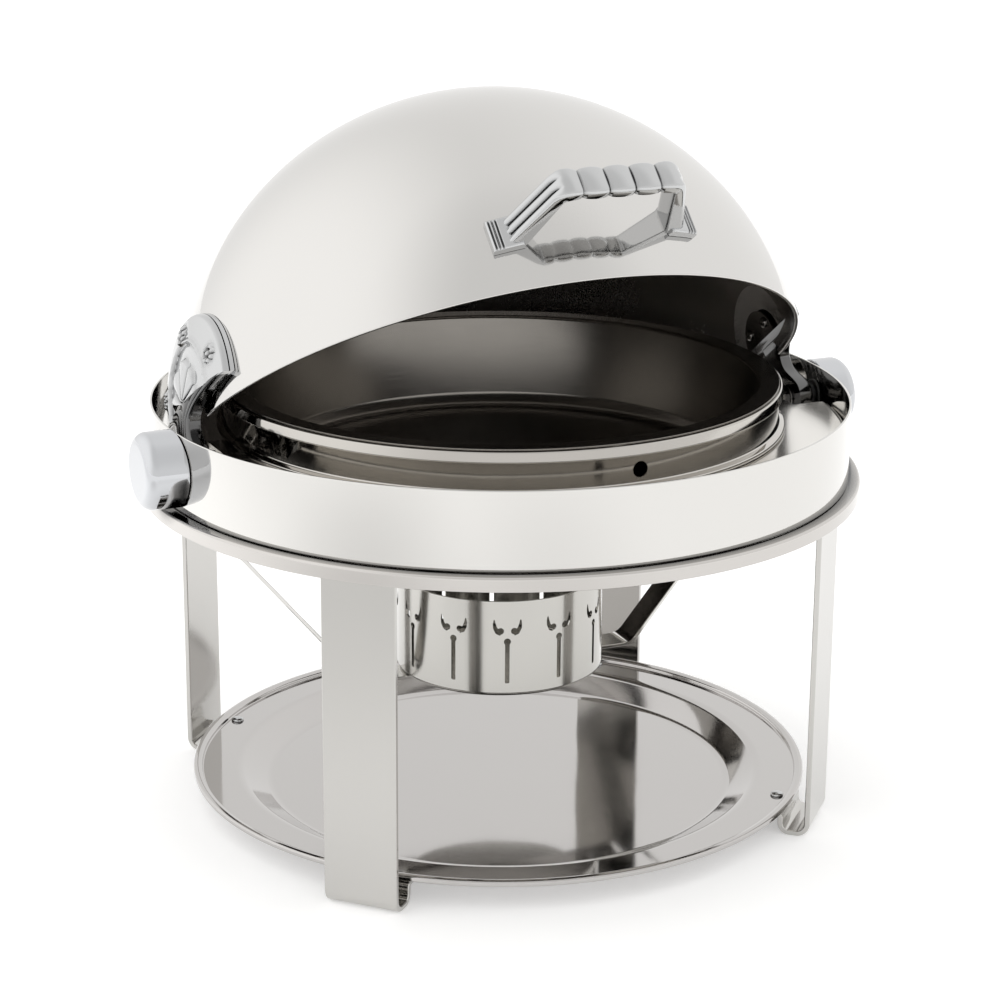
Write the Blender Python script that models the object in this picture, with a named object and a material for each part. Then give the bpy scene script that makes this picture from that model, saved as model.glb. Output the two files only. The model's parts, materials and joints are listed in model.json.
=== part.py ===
"""Round roll-top chafing dish: a stand with four strap legs and a drip tray, a band frame, a water
pan with a food pan in it, a fuel burner holder on a hanging strap, and a domed lid that rolls back
on two pivots. Metres, +Z up, front towards -Y, origin on the floor under the middle of the frame.
"""

import math

import bmesh
import bpy
from mathutils import Matrix, Vector

MM = 0.001
GAP = 0.3 * MM  # between two pieces that touch
SIDES = {"left": -1, "right": 1}
ROUND = 48  # segments of the large turned pieces
SMALL_ROUND = 24
FASTENER_ROUND = 8
BEND_STEPS = 3  # straight stretches in a bend of sheet

# Frame band and stand ring
BAND_R = 235 * MM
BAND_WALL = 1.5 * MM
BAND_BOTTOM = 232 * MM
BAND_TOP = 283 * MM
RING_R = 243 * MM
RING_INNER_R = 228 * MM
RING_TOP = BAND_BOTTOM - GAP
RING_SKIRT = 9.5 * MM
RING_SHEET = 1.8 * MM

# Legs: a strap bent into an inward tab at the top and a curl with a tab at the foot
LEG_ANGLES = {"front_left": 223.4, "front_right": 316.6, "rear_right": 43.4, "rear_left": 136.6}
LEG_R = 229 * MM  # outer face of the strap
LEG_WIDTH = 50 * MM
LEG_SHEET = 3.6 * MM
LEG_TOP_TAB = 10 * MM  # how far the tab under the ring stands out
LEG_TOP_BEND_R = 2.2 * MM
LEG_CURL_WIDTH = 22 * MM
LEG_BEND_R = 7.5 * MM  # of the sheet's middle, in the curl
LEG_TAB_BEND_R = 2.9 * MM
LEG_TOE = 33 * MM  # from the strap's outer face to the end of the foot tab
TRAY_TAB_TOP = 15.6 * MM
RING_SCREW_R = 234.2 * MM

# Drip tray
TRAY_RIM_R = 213 * MM
TRAY_FLOOR_R = 160 * MM
TRAY_WALL_R = 181 * MM
TRAY_FLANGE_TOP = 17.1 * MM
TRAY_FLOOR_TOP = 5.5 * MM
TRAY_SHEET = 1.2 * MM
TRAY_BEAD_TOP = 20.6 * MM
TRAY_BEAD = 6 * MM  # width of the rolled edge
TRAY_EDGE = 1.5 * MM
TRAY_SCREW_R = 200.5 * MM
TRAY_SCREW_HEAD_R = 4.4 * MM

# Pan support: a flat crescent on the band's inside, open at the back for the lid
SUPPORT_TOP = 264 * MM
SUPPORT_SHEET = 1.8 * MM
SUPPORT_INNER_R = 188.5 * MM
SUPPORT_TONGUE_R = 201 * MM
SUPPORT_SKIRT = 12 * MM
SUPPORT_FRONT_Y = -48 * MM  # the full width ends here, clear of the hinges
SUPPORT_BACK_Y = 21 * MM  # the narrow tongues end here

# Water pan and food pan
WATER_RIM_R = 190 * MM
WATER_RIM_TOP = 293.5 * MM
WATER_RIM_DROP = 7 * MM
WATER_BEAD_R = 191.5 * MM
WATER_BEAD_Z = 265.6 * MM
WATER_BEAD = 2.4 * MM
WATER_ROLL = 3 * MM  # how far the rim is rolled out over the neck
WATER_WALL_R = 185 * MM
WATER_FLOOR_R = 172 * MM
WATER_FLOOR_Z = 203 * MM
PAN_SHEET = 1.0 * MM
FOOD_RIM_TOP = 295 * MM
FOOD_FLANGE_R = 187 * MM
FOOD_WALL_R = 172.5 * MM
FOOD_FLOOR_R = 160 * MM
FOOD_FLOOR_Z = 229.5 * MM
FOOD_CORNER = 8 * MM
VENT_Z = 277 * MM
VENT_R = 5.2 * MM
VENT_ANGLE = 273  # degrees round from +X

# Burner
BURNER_R = 71 * MM
BURNER_WALL = 1.2 * MM
BURNER_BOTTOM = 89.5 * MM
BURNER_TOP = 157 * MM
BURNER_VENTS = 12
BURNER_FIRST_VENT = -80  # degrees round from +X
SLOT_WIDTH = 3.1 * MM
SLOT_BOTTOM = 99 * MM
SLOT_TOP = 130 * MM
COMMA_Z = 140 * MM  # middle of the two slanted slots over it
COMMA_ACROSS = 6.8 * MM
COMMA_LENGTH = 11 * MM
COMMA_WIDTH = 3.4 * MM
COMMA_LEAN = math.radians(24)
BRACKET_Y = 8 * MM
BRACKET_WIDTH = 22.4 * MM
BRACKET_SHEET = 2.4 * MM
BRACKET_SIDE_X = 186.6 * MM  # inner face of its upright ends
BRACKET_BEND_Z = 190 * MM
BRACKET_FLAT_X = 102 * MM
BRACKET_TAB_X = 200.5 * MM
BRACKET_SCREW_X = 196 * MM
BRACKET_SCREW_HEAD_R = 3.4 * MM
BRACKET_BENDS = [2.4 * MM, 10 * MM, 14 * MM]  # from the tab to the middle
BURNER_BOLT_LENGTH = 10 * MM
BURNER_BOLT_HEAD_R = 5 * MM
BURNER_ROUND = 36

# Lid, in its own frame: pivot axis along X through the origin, lid closed
PIVOT = Vector((0, -14 * MM, 259.2 * MM))
LID_OPEN = math.radians(34)
DOME_R = 213.5 * MM
DOME_SHEET = 1.2 * MM
DOME_CENTRE = Vector((0, 14 * MM, 23.8 * MM))
DOME_INSIDE = DOME_R - DOME_SHEET - 1.5 * MM  # clear of the shell's inner facets
DOME_RIM_Z = 27.4 * MM
DOME_RINGS = 9
NOTCH_HALF = 15 * MM
NOTCH_TOP = 40 * MM
NOTCH_CHAMFER = 7 * MM
DOME_HEM = 1.6 * MM

# Hinges
PLATE_R = 57 * MM
PLATE_Z = 42 * MM  # the straight edge of the half disc
PLATE_THICK = 9.5 * MM
PLATE_IN_X = 190 * MM
PLATE_STEPS = 12
BACK_PLATE_R = 24 * MM
BACK_PLATE_SHEET = 1.6 * MM
HINGE_SCREW_Y = 13 * MM
HINGE_SCREW_Z = 53 * MM
HINGE_SCREW_LENGTH = 11 * MM
ARM_HALF = 23 * MM
ARM_OUT_X = 228.6 * MM
ARM_IN_X = 215.3 * MM
HUB_R = 19 * MM
PIN_R = 5 * MM
PIN_IN_X = 204.3 * MM
KNOB_R = 25.3 * MM
KNOB_OUT_X = 259.4 * MM
KNOB_EDGE = 8 * MM
KNOB_LENGTH = 32 * MM  # before the band's curve is cut from it
KNOB_GAP = 1 * MM  # between the knob's saddle and the band
BUSH_R = 8 * MM
BUSH_FLANGE = 3.2 * MM
BUSH_IN_X = 229 * MM
BUSH_OUT_X = 234 * MM
PIVOT_NUT_R = 9 * MM
PIVOT_NUT_H = 6.5 * MM

# Lid handle
HANDLE_AZIMUTH = math.radians(16)  # of each foot, either side of the front
HANDLE_RISE = math.radians(11.5)
HANDLE_LIFT = 43 * MM  # grip over the dome
GRIP_HALF = 38.5 * MM
GRIP_WIDTH = 20 * MM
GRIP_THICK = 9 * MM
LOBE_PITCH = 17.4 * MM
LOBE_R = 10.6 * MM
FOOT_LENGTH = 20 * MM
FOOT_WIDTH = 22 * MM
FOOT_THICK = 5.5 * MM
HANDLE_WASHER_R = 7 * MM
HANDLE_SCREW_LENGTH = 6.5 * MM

# Fasteners
SCREW_R = 2 * MM
SCREW_HEAD_R = 3.8 * MM
SCREW_HEAD_H = 2.4 * MM
NUT_R = 4 * MM
NUT_H = 3.2 * MM
HOLE_R = 2.4 * MM
WASHER_H = 1.2 * MM
WASHER_ROUND = 16

STEEL = (0.72, 0.71, 0.69, 1)
SATIN = (0.42, 0.41, 0.39, 1)
CHROME = (0.80, 0.81, 0.82, 1)
NYLON = (0.03, 0.03, 0.03, 1)


# ---------------------------------------------------------------- scene and materials


def clear_scene():
    for obj in list(bpy.data.objects):
        bpy.data.objects.remove(obj)


def make_material(name, colour, roughness, metallic):
    material = bpy.data.materials.new(name)
    material.use_nodes = True
    shader = material.node_tree.nodes["Principled BSDF"]
    shader.inputs["Base Color"].default_value = colour
    shader.inputs["Roughness"].default_value = roughness
    shader.inputs["Metallic"].default_value = metallic
    return material


def make_materials():
    return {
        "polished": make_material("polished_steel", STEEL, 0.07, 1),
        "satin": make_material("satin_steel", SATIN, 0.32, 1),
        "chrome": make_material("chrome", CHROME, 0.05, 1),
        "nylon": make_material("nylon", NYLON, 0.5, 0),
    }


def add_object(name, mesh, material, parent=None, matrix=None):
    mesh.materials.append(material)
    mesh.shade_smooth()
    mesh.set_sharp_from_angle(angle=math.radians(30))
    obj = bpy.data.objects.new(name, mesh)
    bpy.context.scene.collection.objects.link(obj)
    obj.parent = parent
    if matrix:
        obj.matrix_local = matrix
    return obj


def finish_mesh(bm, name):
    bmesh.ops.remove_doubles(bm, verts=bm.verts, dist=0.01 * MM)
    bmesh.ops.recalc_face_normals(bm, faces=bm.faces)
    mesh = bpy.data.meshes.new(name)
    bm.to_mesh(mesh)
    bm.free()
    return mesh


def cut(target, name, mesh, matrix=None, parent=None, operation="DIFFERENCE"):
    """Cuts the mesh from the target, or joins it to it, as a Boolean with a hidden tool."""
    tool = bpy.data.objects.new(f"tool_{target.name}_{name}", mesh)
    bpy.context.scene.collection.objects.link(tool)
    tool.parent = parent
    if matrix:
        tool.matrix_local = matrix
    tool.hide_render = True
    tool.display_type = "WIRE"
    modifier = target.modifiers.new(name, "BOOLEAN")
    modifier.operation = operation
    modifier.solver = "EXACT"
    modifier.object = tool


# ---------------------------------------------------------------- shapes


def turned(name, profile, segments=ROUND):
    """A closed (radius, height) profile turned about Z. A point at radius 0 makes the closing fan."""
    bm = bmesh.new()
    verts = [bm.verts.new((r, 0, z)) for r, z in profile]
    edges = [bm.edges.new((verts[i], verts[(i + 1) % len(verts)])) for i in range(len(verts))]
    bmesh.ops.spin(
        bm,
        geom=verts + edges,
        axis=(0, 0, 1),
        cent=(0, 0, 0),
        angle=math.tau,
        steps=segments,
        use_merge=True,
    )
    flat = [face for face in bm.faces if face.calc_area() < 1e-12]
    bmesh.ops.delete(bm, geom=flat, context="FACES")
    return finish_mesh(bm, name)


def prism(name, outline, depth):
    """The closed outline of 3-D points, pushed along the depth vector into a solid."""
    bm = bmesh.new()
    face = bm.faces.new([bm.verts.new(point) for point in outline])
    swept = bmesh.ops.extrude_face_region(bm, geom=[face])
    moved = [v for v in swept["geom"] if isinstance(v, bmesh.types.BMVert)]
    bmesh.ops.translate(bm, verts=moved, vec=depth)
    return finish_mesh(bm, name)


def sides_of(radius):
    """Enough flat sides for a hole or shaft of that radius."""
    return FASTENER_ROUND if radius < 3 * MM else SMALL_ROUND


def drum(name, radius, bottom, top, segments=None):
    segments = segments or sides_of(radius)
    angles = [math.tau * i / segments for i in range(segments)]
    ring = [(radius * math.cos(a), radius * math.sin(a), bottom) for a in angles]
    return prism(name, ring, (0, 0, top - bottom))


def block(name, low, high):
    (x0, y0, z0), (x1, y1, z1) = low, high
    return prism(name, [(x0, y0, z0), (x1, y0, z0), (x1, y1, z0), (x0, y1, z0)], (0, 0, z1 - z0))


def strap(name, path, thickness, width):
    """Sheet bent along the (x, z) path, as wide as said along Y."""
    outline = [(x, -width / 2, z) for x, z in thick_line(path, thickness)]
    return prism(name, outline, (0, width, 0))


def rounded_path(corners, radii, steps=BEND_STEPS):
    """The centre line through the corners, with an arc of the given radius at each inner corner."""
    path = [Vector(corners[0])]
    for before, corner, after, radius in zip(corners, corners[1:], corners[2:], radii):
        corner = Vector(corner)
        back = (Vector(before) - corner).normalized()
        ahead = (Vector(after) - corner).normalized()
        half = back.angle(ahead) / 2
        centre = corner + (back + ahead).normalized() * (radius / math.sin(half))
        first = corner + back * (radius / math.tan(half)) - centre
        last = corner + ahead * (radius / math.tan(half)) - centre
        turn = -first.angle_signed(last)
        for i in range(steps + 1):
            spin = Matrix.Rotation(turn * i / steps, 2)
            path.append(centre + spin @ first)
    path.append(Vector(corners[-1]))
    return path


def thick_line(path, thickness):
    """The closed outline of a sheet of that thickness whose centre line is the path."""
    left, right = [], []
    for i, point in enumerate(path):
        before = path[max(i - 1, 0)]
        after = path[min(i + 1, len(path) - 1)]
        into = (point - before).normalized() if i else (after - point).normalized()
        out = (after - point).normalized() if i < len(path) - 1 else into
        side = (into + out).normalized()
        normal = Vector((-side.y, side.x))
        reach = thickness / 2 / side.dot(into)
        left.append(point + normal * reach)
        right.append(point - normal * reach)
    return [tuple(p) for p in left + right[::-1]]


def shift(x, y, z):
    return Matrix.Translation((x, y, z))


def turn_about_z(degrees):
    return Matrix.Rotation(math.radians(degrees), 4, "Z")


def along_x(x, side=1):
    """Stands a piece that was made along Z on the X axis, pointing outwards on that side."""
    return shift(side * x, 0, 0) @ Matrix.Rotation(side * math.pi / 2, 4, "Y")


UPSIDE_DOWN = Matrix.Rotation(math.pi, 4, "X")


# ---------------------------------------------------------------- fasteners


def screw(name, length, material, matrix, parent=None, head_r=SCREW_HEAD_R):
    """A domed head over Z = 0, with its shank below."""
    profile = [
        (0, SCREW_HEAD_H),
        (0, -length),
        (SCREW_R, -length),
        (SCREW_R, 0),
        (head_r, 0),
        (head_r * 0.6, SCREW_HEAD_H),
    ]
    return add_object(name, turned(name, profile, FASTENER_ROUND), material, parent, matrix)


def hex_nut(name, material, matrix, parent=None, radius=NUT_R, height=NUT_H, bore=HOLE_R):
    """A hexagon nut standing on Z = 0."""
    nut = add_object(name, drum(name, radius, 0, height, 6), material, parent, matrix)
    cut(nut, "bore", drum("bore", bore, -height, 2 * height), matrix, parent)
    return nut


def washer(name, radius, bore, material, matrix, parent=None):
    """A flat washer standing on Z = 0."""
    profile = [(bore, 0), (bore, WASHER_H), (radius, WASHER_H), (radius, 0)]
    return add_object(name, turned(name, profile, WASHER_ROUND), material, parent, matrix)


def drill(target, name, matrix, radius=HOLE_R, depth=20 * MM, parent=None):
    """A round hole centred on the matrix, along its Z."""
    cut(target, name, drum("hole", radius, -depth / 2, depth / 2), matrix, parent)


# ---------------------------------------------------------------- stand


def make_stand_ring(mats):
    """A flat ring with a skirt turned down round its outside."""
    inner_skirt = RING_R - RING_SHEET
    under = RING_TOP - RING_SHEET
    profile = [
        (RING_INNER_R, RING_TOP),
        (RING_INNER_R, under),
        (inner_skirt, under),
        (inner_skirt, RING_TOP - RING_SKIRT),
        (RING_R, RING_TOP - RING_SKIRT),
        (RING_R, RING_TOP),
    ]
    return add_object("stand_ring", turned("stand_ring", profile), mats["polished"])


def leg_path():
    """The (x, z) centre line of the leg at +X: top tab, upright, curl at the floor, tab under the tray."""
    half = LEG_SHEET / 2
    top = RING_TOP - RING_SHEET - GAP - half
    upright = LEG_R - half
    toe = LEG_R - LEG_CURL_WIDTH + half
    tab = TRAY_TAB_TOP - half
    corners = [
        (LEG_R + LEG_TOP_TAB, top),
        (upright, top),
        (upright, half),
        (toe, half),
        (toe, tab),
        (LEG_R - LEG_TOE, tab),
    ]
    return rounded_path(corners, [LEG_TOP_BEND_R, LEG_BEND_R, LEG_BEND_R, LEG_TAB_BEND_R])


def make_legs(mats, ring):
    path = leg_path()
    head = RING_TOP - RING_SHEET - LEG_SHEET - 2 * GAP
    for place, degrees in LEG_ANGLES.items():
        turn = turn_about_z(degrees)
        mesh = strap("leg", path, LEG_SHEET, LEG_WIDTH)
        leg = add_object(f"leg_{place}", mesh, mats["polished"], matrix=turn)
        for i, across in enumerate((-1, 1), start=1):
            spot = turn @ shift(RING_SCREW_R, across * LEG_WIDTH / 4, head)
            length = LEG_SHEET + RING_SHEET
            screw(f"ring_screw_{place}_{i}", length, mats["polished"], spot @ UPSIDE_DOWN)
            drill(leg, f"top_{i}", spot, depth=4 * LEG_SHEET)
            drill(ring, f"{place}_{i}", spot, depth=4 * LEG_SHEET)
        drill(leg, "foot", turn @ shift(TRAY_SCREW_R, 0, TRAY_TAB_TOP), depth=3 * LEG_SHEET)


def make_drip_tray(mats):
    """A shallow dish with a flat flange and a rolled bead, screwed to the four foot tabs."""
    t = TRAY_SHEET
    top = TRAY_FLANGE_TOP
    profile = [
        (0, TRAY_FLOOR_TOP),
        (0, TRAY_FLOOR_TOP - t),
        (TRAY_FLOOR_R, TRAY_FLOOR_TOP - t),
        (TRAY_WALL_R, top - t),
        (TRAY_RIM_R - TRAY_EDGE, top - t),
        (TRAY_RIM_R, top),
        (TRAY_RIM_R - TRAY_EDGE, TRAY_BEAD_TOP),
        (TRAY_RIM_R - TRAY_BEAD, TRAY_BEAD_TOP - TRAY_EDGE),
        (TRAY_RIM_R - TRAY_BEAD, top),
        (TRAY_WALL_R, top),
        (TRAY_FLOOR_R, TRAY_FLOOR_TOP),
    ]
    tray = add_object("drip_tray", turned("drip_tray", profile), mats["polished"])
    for place, degrees in LEG_ANGLES.items():
        spot = turn_about_z(degrees) @ shift(TRAY_SCREW_R, 0, TRAY_FLANGE_TOP + GAP)
        drill(tray, place, spot)
        length = TRAY_SHEET + LEG_SHEET + NUT_H + 1 * MM
        screw(f"tray_screw_{place}", length, mats["polished"], spot, head_r=TRAY_SCREW_HEAD_R)
        below = TRAY_TAB_TOP - LEG_SHEET - GAP - NUT_H
        nut_at = turn_about_z(degrees) @ shift(TRAY_SCREW_R, 0, below)
        hex_nut(f"tray_nut_{place}", mats["polished"], nut_at)
    return tray


# ---------------------------------------------------------------- frame


def make_band(mats):
    """The upright hoop that carries the pivots."""
    inner = BAND_R - BAND_WALL
    profile = [(inner, BAND_TOP), (inner, BAND_BOTTOM), (BAND_R, BAND_BOTTOM), (BAND_R, BAND_TOP)]
    band = add_object("frame_band", turned("frame_band", profile), mats["polished"])
    for side, sign in SIDES.items():
        drill(band, side, Matrix.Translation(PIVOT) @ along_x(BAND_R, sign), radius=BUSH_R + GAP)
    return band


def make_pan_support(mats):
    """The crescent: a full-width plate with a skirt at the front, narrow tongues at the sides."""
    outer = BAND_R - BAND_WALL - GAP
    skirt = outer - SUPPORT_SHEET
    under = SUPPORT_TOP - SUPPORT_SHEET
    low = SUPPORT_TOP - SUPPORT_SKIRT
    profile = [
        (SUPPORT_INNER_R, SUPPORT_TOP),
        (SUPPORT_INNER_R, under),
        (skirt, under),
        (skirt, low),
        (outer, low),
        (outer, SUPPORT_TOP),
    ]
    support = add_object("pan_support", turned("pan_support", profile), mats["polished"])
    far = 1.2 * BAND_R
    cut(support, "back", block("back", (-far, SUPPORT_BACK_Y, 0), (far, far, far * 2)))
    for side, sign in SIDES.items():
        near, beyond = sorted((sign * SUPPORT_TONGUE_R, sign * far))
        cut(support, side, block("side", (near, SUPPORT_FRONT_Y, 0), (beyond, far, far * 2)))
        drill(support, f"bracket_{side}", shift(sign * BRACKET_SCREW_X, BRACKET_Y, SUPPORT_TOP))
    return support


# ---------------------------------------------------------------- pans


def make_water_pan(mats):
    """A dish with a bead that rests on the crescent, a straight neck with a vent, and a rolled rim."""
    t = PAN_SHEET
    rim_low = WATER_RIM_TOP - WATER_RIM_DROP
    neck = WATER_RIM_R - WATER_ROLL
    profile = [
        (0, WATER_FLOOR_Z + t),
        (0, WATER_FLOOR_Z),
        (WATER_FLOOR_R, WATER_FLOOR_Z),
        (WATER_WALL_R, WATER_BEAD_Z - WATER_BEAD / 2),
        (WATER_BEAD_R, WATER_BEAD_Z - WATER_BEAD / 2),
        (WATER_BEAD_R, WATER_BEAD_Z + WATER_BEAD / 2),
        (neck, WATER_BEAD_Z + WATER_BEAD),
        (neck, rim_low),
        (WATER_RIM_R, rim_low),
        (WATER_RIM_R, WATER_RIM_TOP),
        (WATER_RIM_R - WATER_ROLL, WATER_RIM_TOP),
        (neck - t, rim_low),
        (WATER_WALL_R - t, WATER_BEAD_Z),
        (WATER_FLOOR_R - t, WATER_FLOOR_Z + t),
    ]
    pan = add_object("water_pan", turned("water_pan", profile), mats["polished"])
    spot = turn_about_z(VENT_ANGLE) @ shift(neck, 0, VENT_Z)
    drill(pan, "vent", spot @ Matrix.Rotation(math.pi / 2, 4, "Y"), radius=VENT_R)
    return pan


def make_food_pan(mats):
    """A plain round pan whose flange lies on the water pan's rim."""
    t = PAN_SHEET
    lip = FOOD_FLANGE_R
    profile = [
        (0, FOOD_FLOOR_Z + t),
        (0, FOOD_FLOOR_Z),
        (FOOD_FLOOR_R - FOOD_CORNER, FOOD_FLOOR_Z),
        (FOOD_FLOOR_R + t, FOOD_FLOOR_Z + FOOD_CORNER),
        (FOOD_WALL_R + t, FOOD_RIM_TOP - t),
        (lip - WATER_ROLL, FOOD_RIM_TOP - t),
        (lip - WATER_ROLL, WATER_RIM_TOP + GAP),
        (lip, WATER_RIM_TOP + GAP),
        (lip, FOOD_RIM_TOP),
        (FOOD_WALL_R, FOOD_RIM_TOP),
        (FOOD_FLOOR_R, FOOD_FLOOR_Z + FOOD_CORNER),
        (FOOD_FLOOR_R - FOOD_CORNER, FOOD_FLOOR_Z + t),
    ]
    return add_object("food_pan", turned("food_pan", profile), mats["satin"])


# ---------------------------------------------------------------- burner


def make_burner_holder(mats):
    """A cup with twelve cut-out patterns: a slot under two slanted slots."""
    inner = BURNER_R - BURNER_WALL
    floor = BURNER_BOTTOM + BURNER_WALL
    profile = [
        (0, floor),
        (0, BURNER_BOTTOM),
        (BURNER_R, BURNER_BOTTOM),
        (BURNER_R, BURNER_TOP),
        (inner, BURNER_TOP),
        (inner, floor),
    ]
    mesh = turned("burner_holder", profile, BURNER_ROUND)
    holder = add_object("burner_holder", mesh, mats["polished"])
    deep = 3 * BURNER_WALL
    for i in range(BURNER_VENTS):
        turn = turn_about_z(BURNER_FIRST_VENT + i * 360 / BURNER_VENTS) @ shift(BURNER_R, 0, 0)
        half = SLOT_WIDTH / 2
        cut(holder, f"slot_{i}", block("slot", (-deep, -half, SLOT_BOTTOM), (deep, half, SLOT_TOP)), turn)
        for across in (-1, 1):
            lean = shift(0, across * COMMA_ACROSS, COMMA_Z)
            lean = lean @ Matrix.Rotation(-across * COMMA_LEAN, 4, "X")
            half = COMMA_WIDTH / 2
            reach = COMMA_LENGTH / 2
            comma = block("comma", (-deep, -half, -reach), (deep, half, reach))
            cut(holder, f"comma_{i}_{across}", comma, turn @ lean)
    drill(holder, "bolt", shift(0, BRACKET_Y, BURNER_BOTTOM))
    return holder


def make_burner_bracket(mats):
    """A strap hung from the pan support's tongues, with the holder bolted to its middle."""
    half = BRACKET_SHEET / 2
    flat = BURNER_BOTTOM - GAP - half
    tab = SUPPORT_TOP - SUPPORT_SHEET - GAP - half
    right = [
        (BRACKET_TAB_X, tab),
        (BRACKET_SIDE_X + half, tab),
        (BRACKET_SIDE_X + half, BRACKET_BEND_Z),
        (BRACKET_FLAT_X, flat),
    ]
    left = [(-x, z) for x, z in reversed(right)]
    radii = BRACKET_BENDS + BRACKET_BENDS[::-1]
    mesh = strap("bracket", rounded_path(right + left, radii), BRACKET_SHEET, BRACKET_WIDTH)
    bracket = add_object("burner_bracket", mesh, mats["polished"], matrix=shift(0, BRACKET_Y, 0))
    drill(bracket, "middle", shift(0, BRACKET_Y, flat))
    for side, sign in SIDES.items():
        spot = shift(sign * BRACKET_SCREW_X, BRACKET_Y, tab - half - GAP)
        drill(bracket, side, spot, depth=8 * MM)
        length = BRACKET_SHEET + SUPPORT_SHEET
        name = f"bracket_screw_{side}"
        screw(name, length, mats["polished"], spot @ UPSIDE_DOWN, head_r=BRACKET_SCREW_HEAD_R)
    top = shift(0, BRACKET_Y, BURNER_BOTTOM + BURNER_WALL + GAP)
    screw("burner_bolt", BURNER_BOLT_LENGTH, mats["polished"], top, head_r=BURNER_BOLT_HEAD_R)
    hex_nut("burner_nut", mats["polished"], shift(0, BRACKET_Y, flat - half - GAP - NUT_H))
    return bracket


# ---------------------------------------------------------------- lid


def dome_arc(radius):
    """(radius, height) points of the dome's section at that radius, from the rim to below the top."""
    start = math.asin((DOME_RIM_Z - DOME_CENTRE.z) / DOME_R)
    angles = [start + (math.pi / 2 - start) * i / DOME_RINGS for i in range(DOME_RINGS)]
    return [(radius * math.cos(a), radius * math.sin(a)) for a in angles]


def make_dome(mats, lid):
    """The shell, with a hem inside its rim and a notch over each pivot."""
    inner = DOME_R - DOME_SHEET
    rim_z = DOME_RIM_Z - DOME_CENTRE.z
    hem = [(inner - DOME_HEM, rim_z + 2 * DOME_HEM), (inner - DOME_HEM, rim_z)]
    over_hem = (math.sqrt(inner**2 - (rim_z + 3 * DOME_HEM) ** 2), rim_z + 3 * DOME_HEM)
    profile = hem + dome_arc(DOME_R) + [(0, DOME_R), (0, inner)] + dome_arc(inner)[:0:-1] + [over_hem]
    place = Matrix.Translation(DOME_CENTRE)
    dome = add_object("lid_dome", turned("lid_dome", profile), mats["polished"], lid, place)
    below = DOME_RIM_Z - 10 * MM
    for side, sign in SIDES.items():
        near = sign * (DOME_R - 20 * MM)
        outline = [
            (near, -NOTCH_HALF, below),
            (near, NOTCH_HALF, below),
            (near, NOTCH_HALF, NOTCH_TOP - NOTCH_CHAMFER),
            (near, NOTCH_HALF - NOTCH_CHAMFER, NOTCH_TOP),
            (near, NOTCH_CHAMFER - NOTCH_HALF, NOTCH_TOP),
            (near, -NOTCH_HALF, NOTCH_TOP - NOTCH_CHAMFER),
        ]
        cut(dome, f"notch_{side}", prism("notch", outline, (sign * 40 * MM, 0, 0)), parent=lid)
    return dome


def cut_dome_room(target, lid):
    """Takes away what would lie inside the dome, leaving the usual gap."""
    radius = DOME_R + GAP
    low = -DOME_R / 4
    profile = [(0, low), (radius, low)] + dome_arc(radius) + [(0, radius)]
    cut(target, "dome_room", turned("room", profile), Matrix.Translation(DOME_CENTRE), lid)


def sphere_x(y, z, radius):
    """How far out a sphere of that radius about the dome's centre lies at that place."""
    dy, dz = y - DOME_CENTRE.y, z - DOME_CENTRE.z
    return math.sqrt(radius * radius - dy * dy - dz * dz)


def half_disc(name, sign, radius, inner_x, shell, steps):
    """A half disc over the height PLATE_Z: flat inside, its outer face on a sphere about the dome."""
    bm = bmesh.new()
    middle = bm.verts.new((sign * sphere_x(0, PLATE_Z, shell), 0, PLATE_Z))
    back_middle = bm.verts.new((sign * inner_x, 0, PLATE_Z))
    spokes = []
    for i in range(steps + 1):
        angle = math.pi * i / steps
        spoke = []
        for reach in (radius / 2, radius):
            y = reach * math.cos(angle)
            z = PLATE_Z + reach * math.sin(angle)
            spoke.append(bm.verts.new((sign * sphere_x(y, z, shell), y, z)))
        spoke.append(bm.verts.new((sign * inner_x, y, z)))
        spokes.append(spoke)
    for one, two in zip(spokes, spokes[1:]):
        bm.faces.new((middle, one[0], two[0]))
        bm.faces.new((one[0], one[1], two[1], two[0]))
        bm.faces.new((one[1], one[2], two[2], two[1]))
        bm.faces.new((one[2], back_middle, two[2]))
    first, last = spokes[0], spokes[-1]
    bm.faces.new((back_middle, first[2], first[1], first[0], middle))
    bm.faces.new((middle, last[0], last[1], last[2], back_middle))
    return finish_mesh(bm, name)


def make_hinge_plate(mats, lid, side, sign):
    """The cast half-disc plate on the dome, with the arm and hub that carry the pivot pin."""
    mesh = half_disc("plate", sign, PLATE_R, PLATE_IN_X, DOME_R + PLATE_THICK, PLATE_STEPS)
    plate = add_object(f"hinge_plate_{side}", mesh, mats["chrome"], lid)
    near = sign * ARM_IN_X
    top = PLATE_Z + 3 * MM
    hub = [math.radians(190 + 20 * i) for i in range(9)]
    outline = [(near, -ARM_HALF, top), (near, -HUB_R, 0)]
    outline += [(near, HUB_R * math.cos(a), HUB_R * math.sin(a)) for a in hub]
    outline += [(near, HUB_R, 0), (near, ARM_HALF, top)]
    arm = prism("arm", outline, (sign * (ARM_OUT_X - ARM_IN_X), 0, 0))
    cut(plate, "arm", arm, parent=lid, operation="UNION")
    cut_dome_room(plate, lid)
    drill(plate, "pin", along_x(ARM_IN_X, sign), radius=PIN_R + GAP, depth=40 * MM, parent=lid)
    return plate


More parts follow.
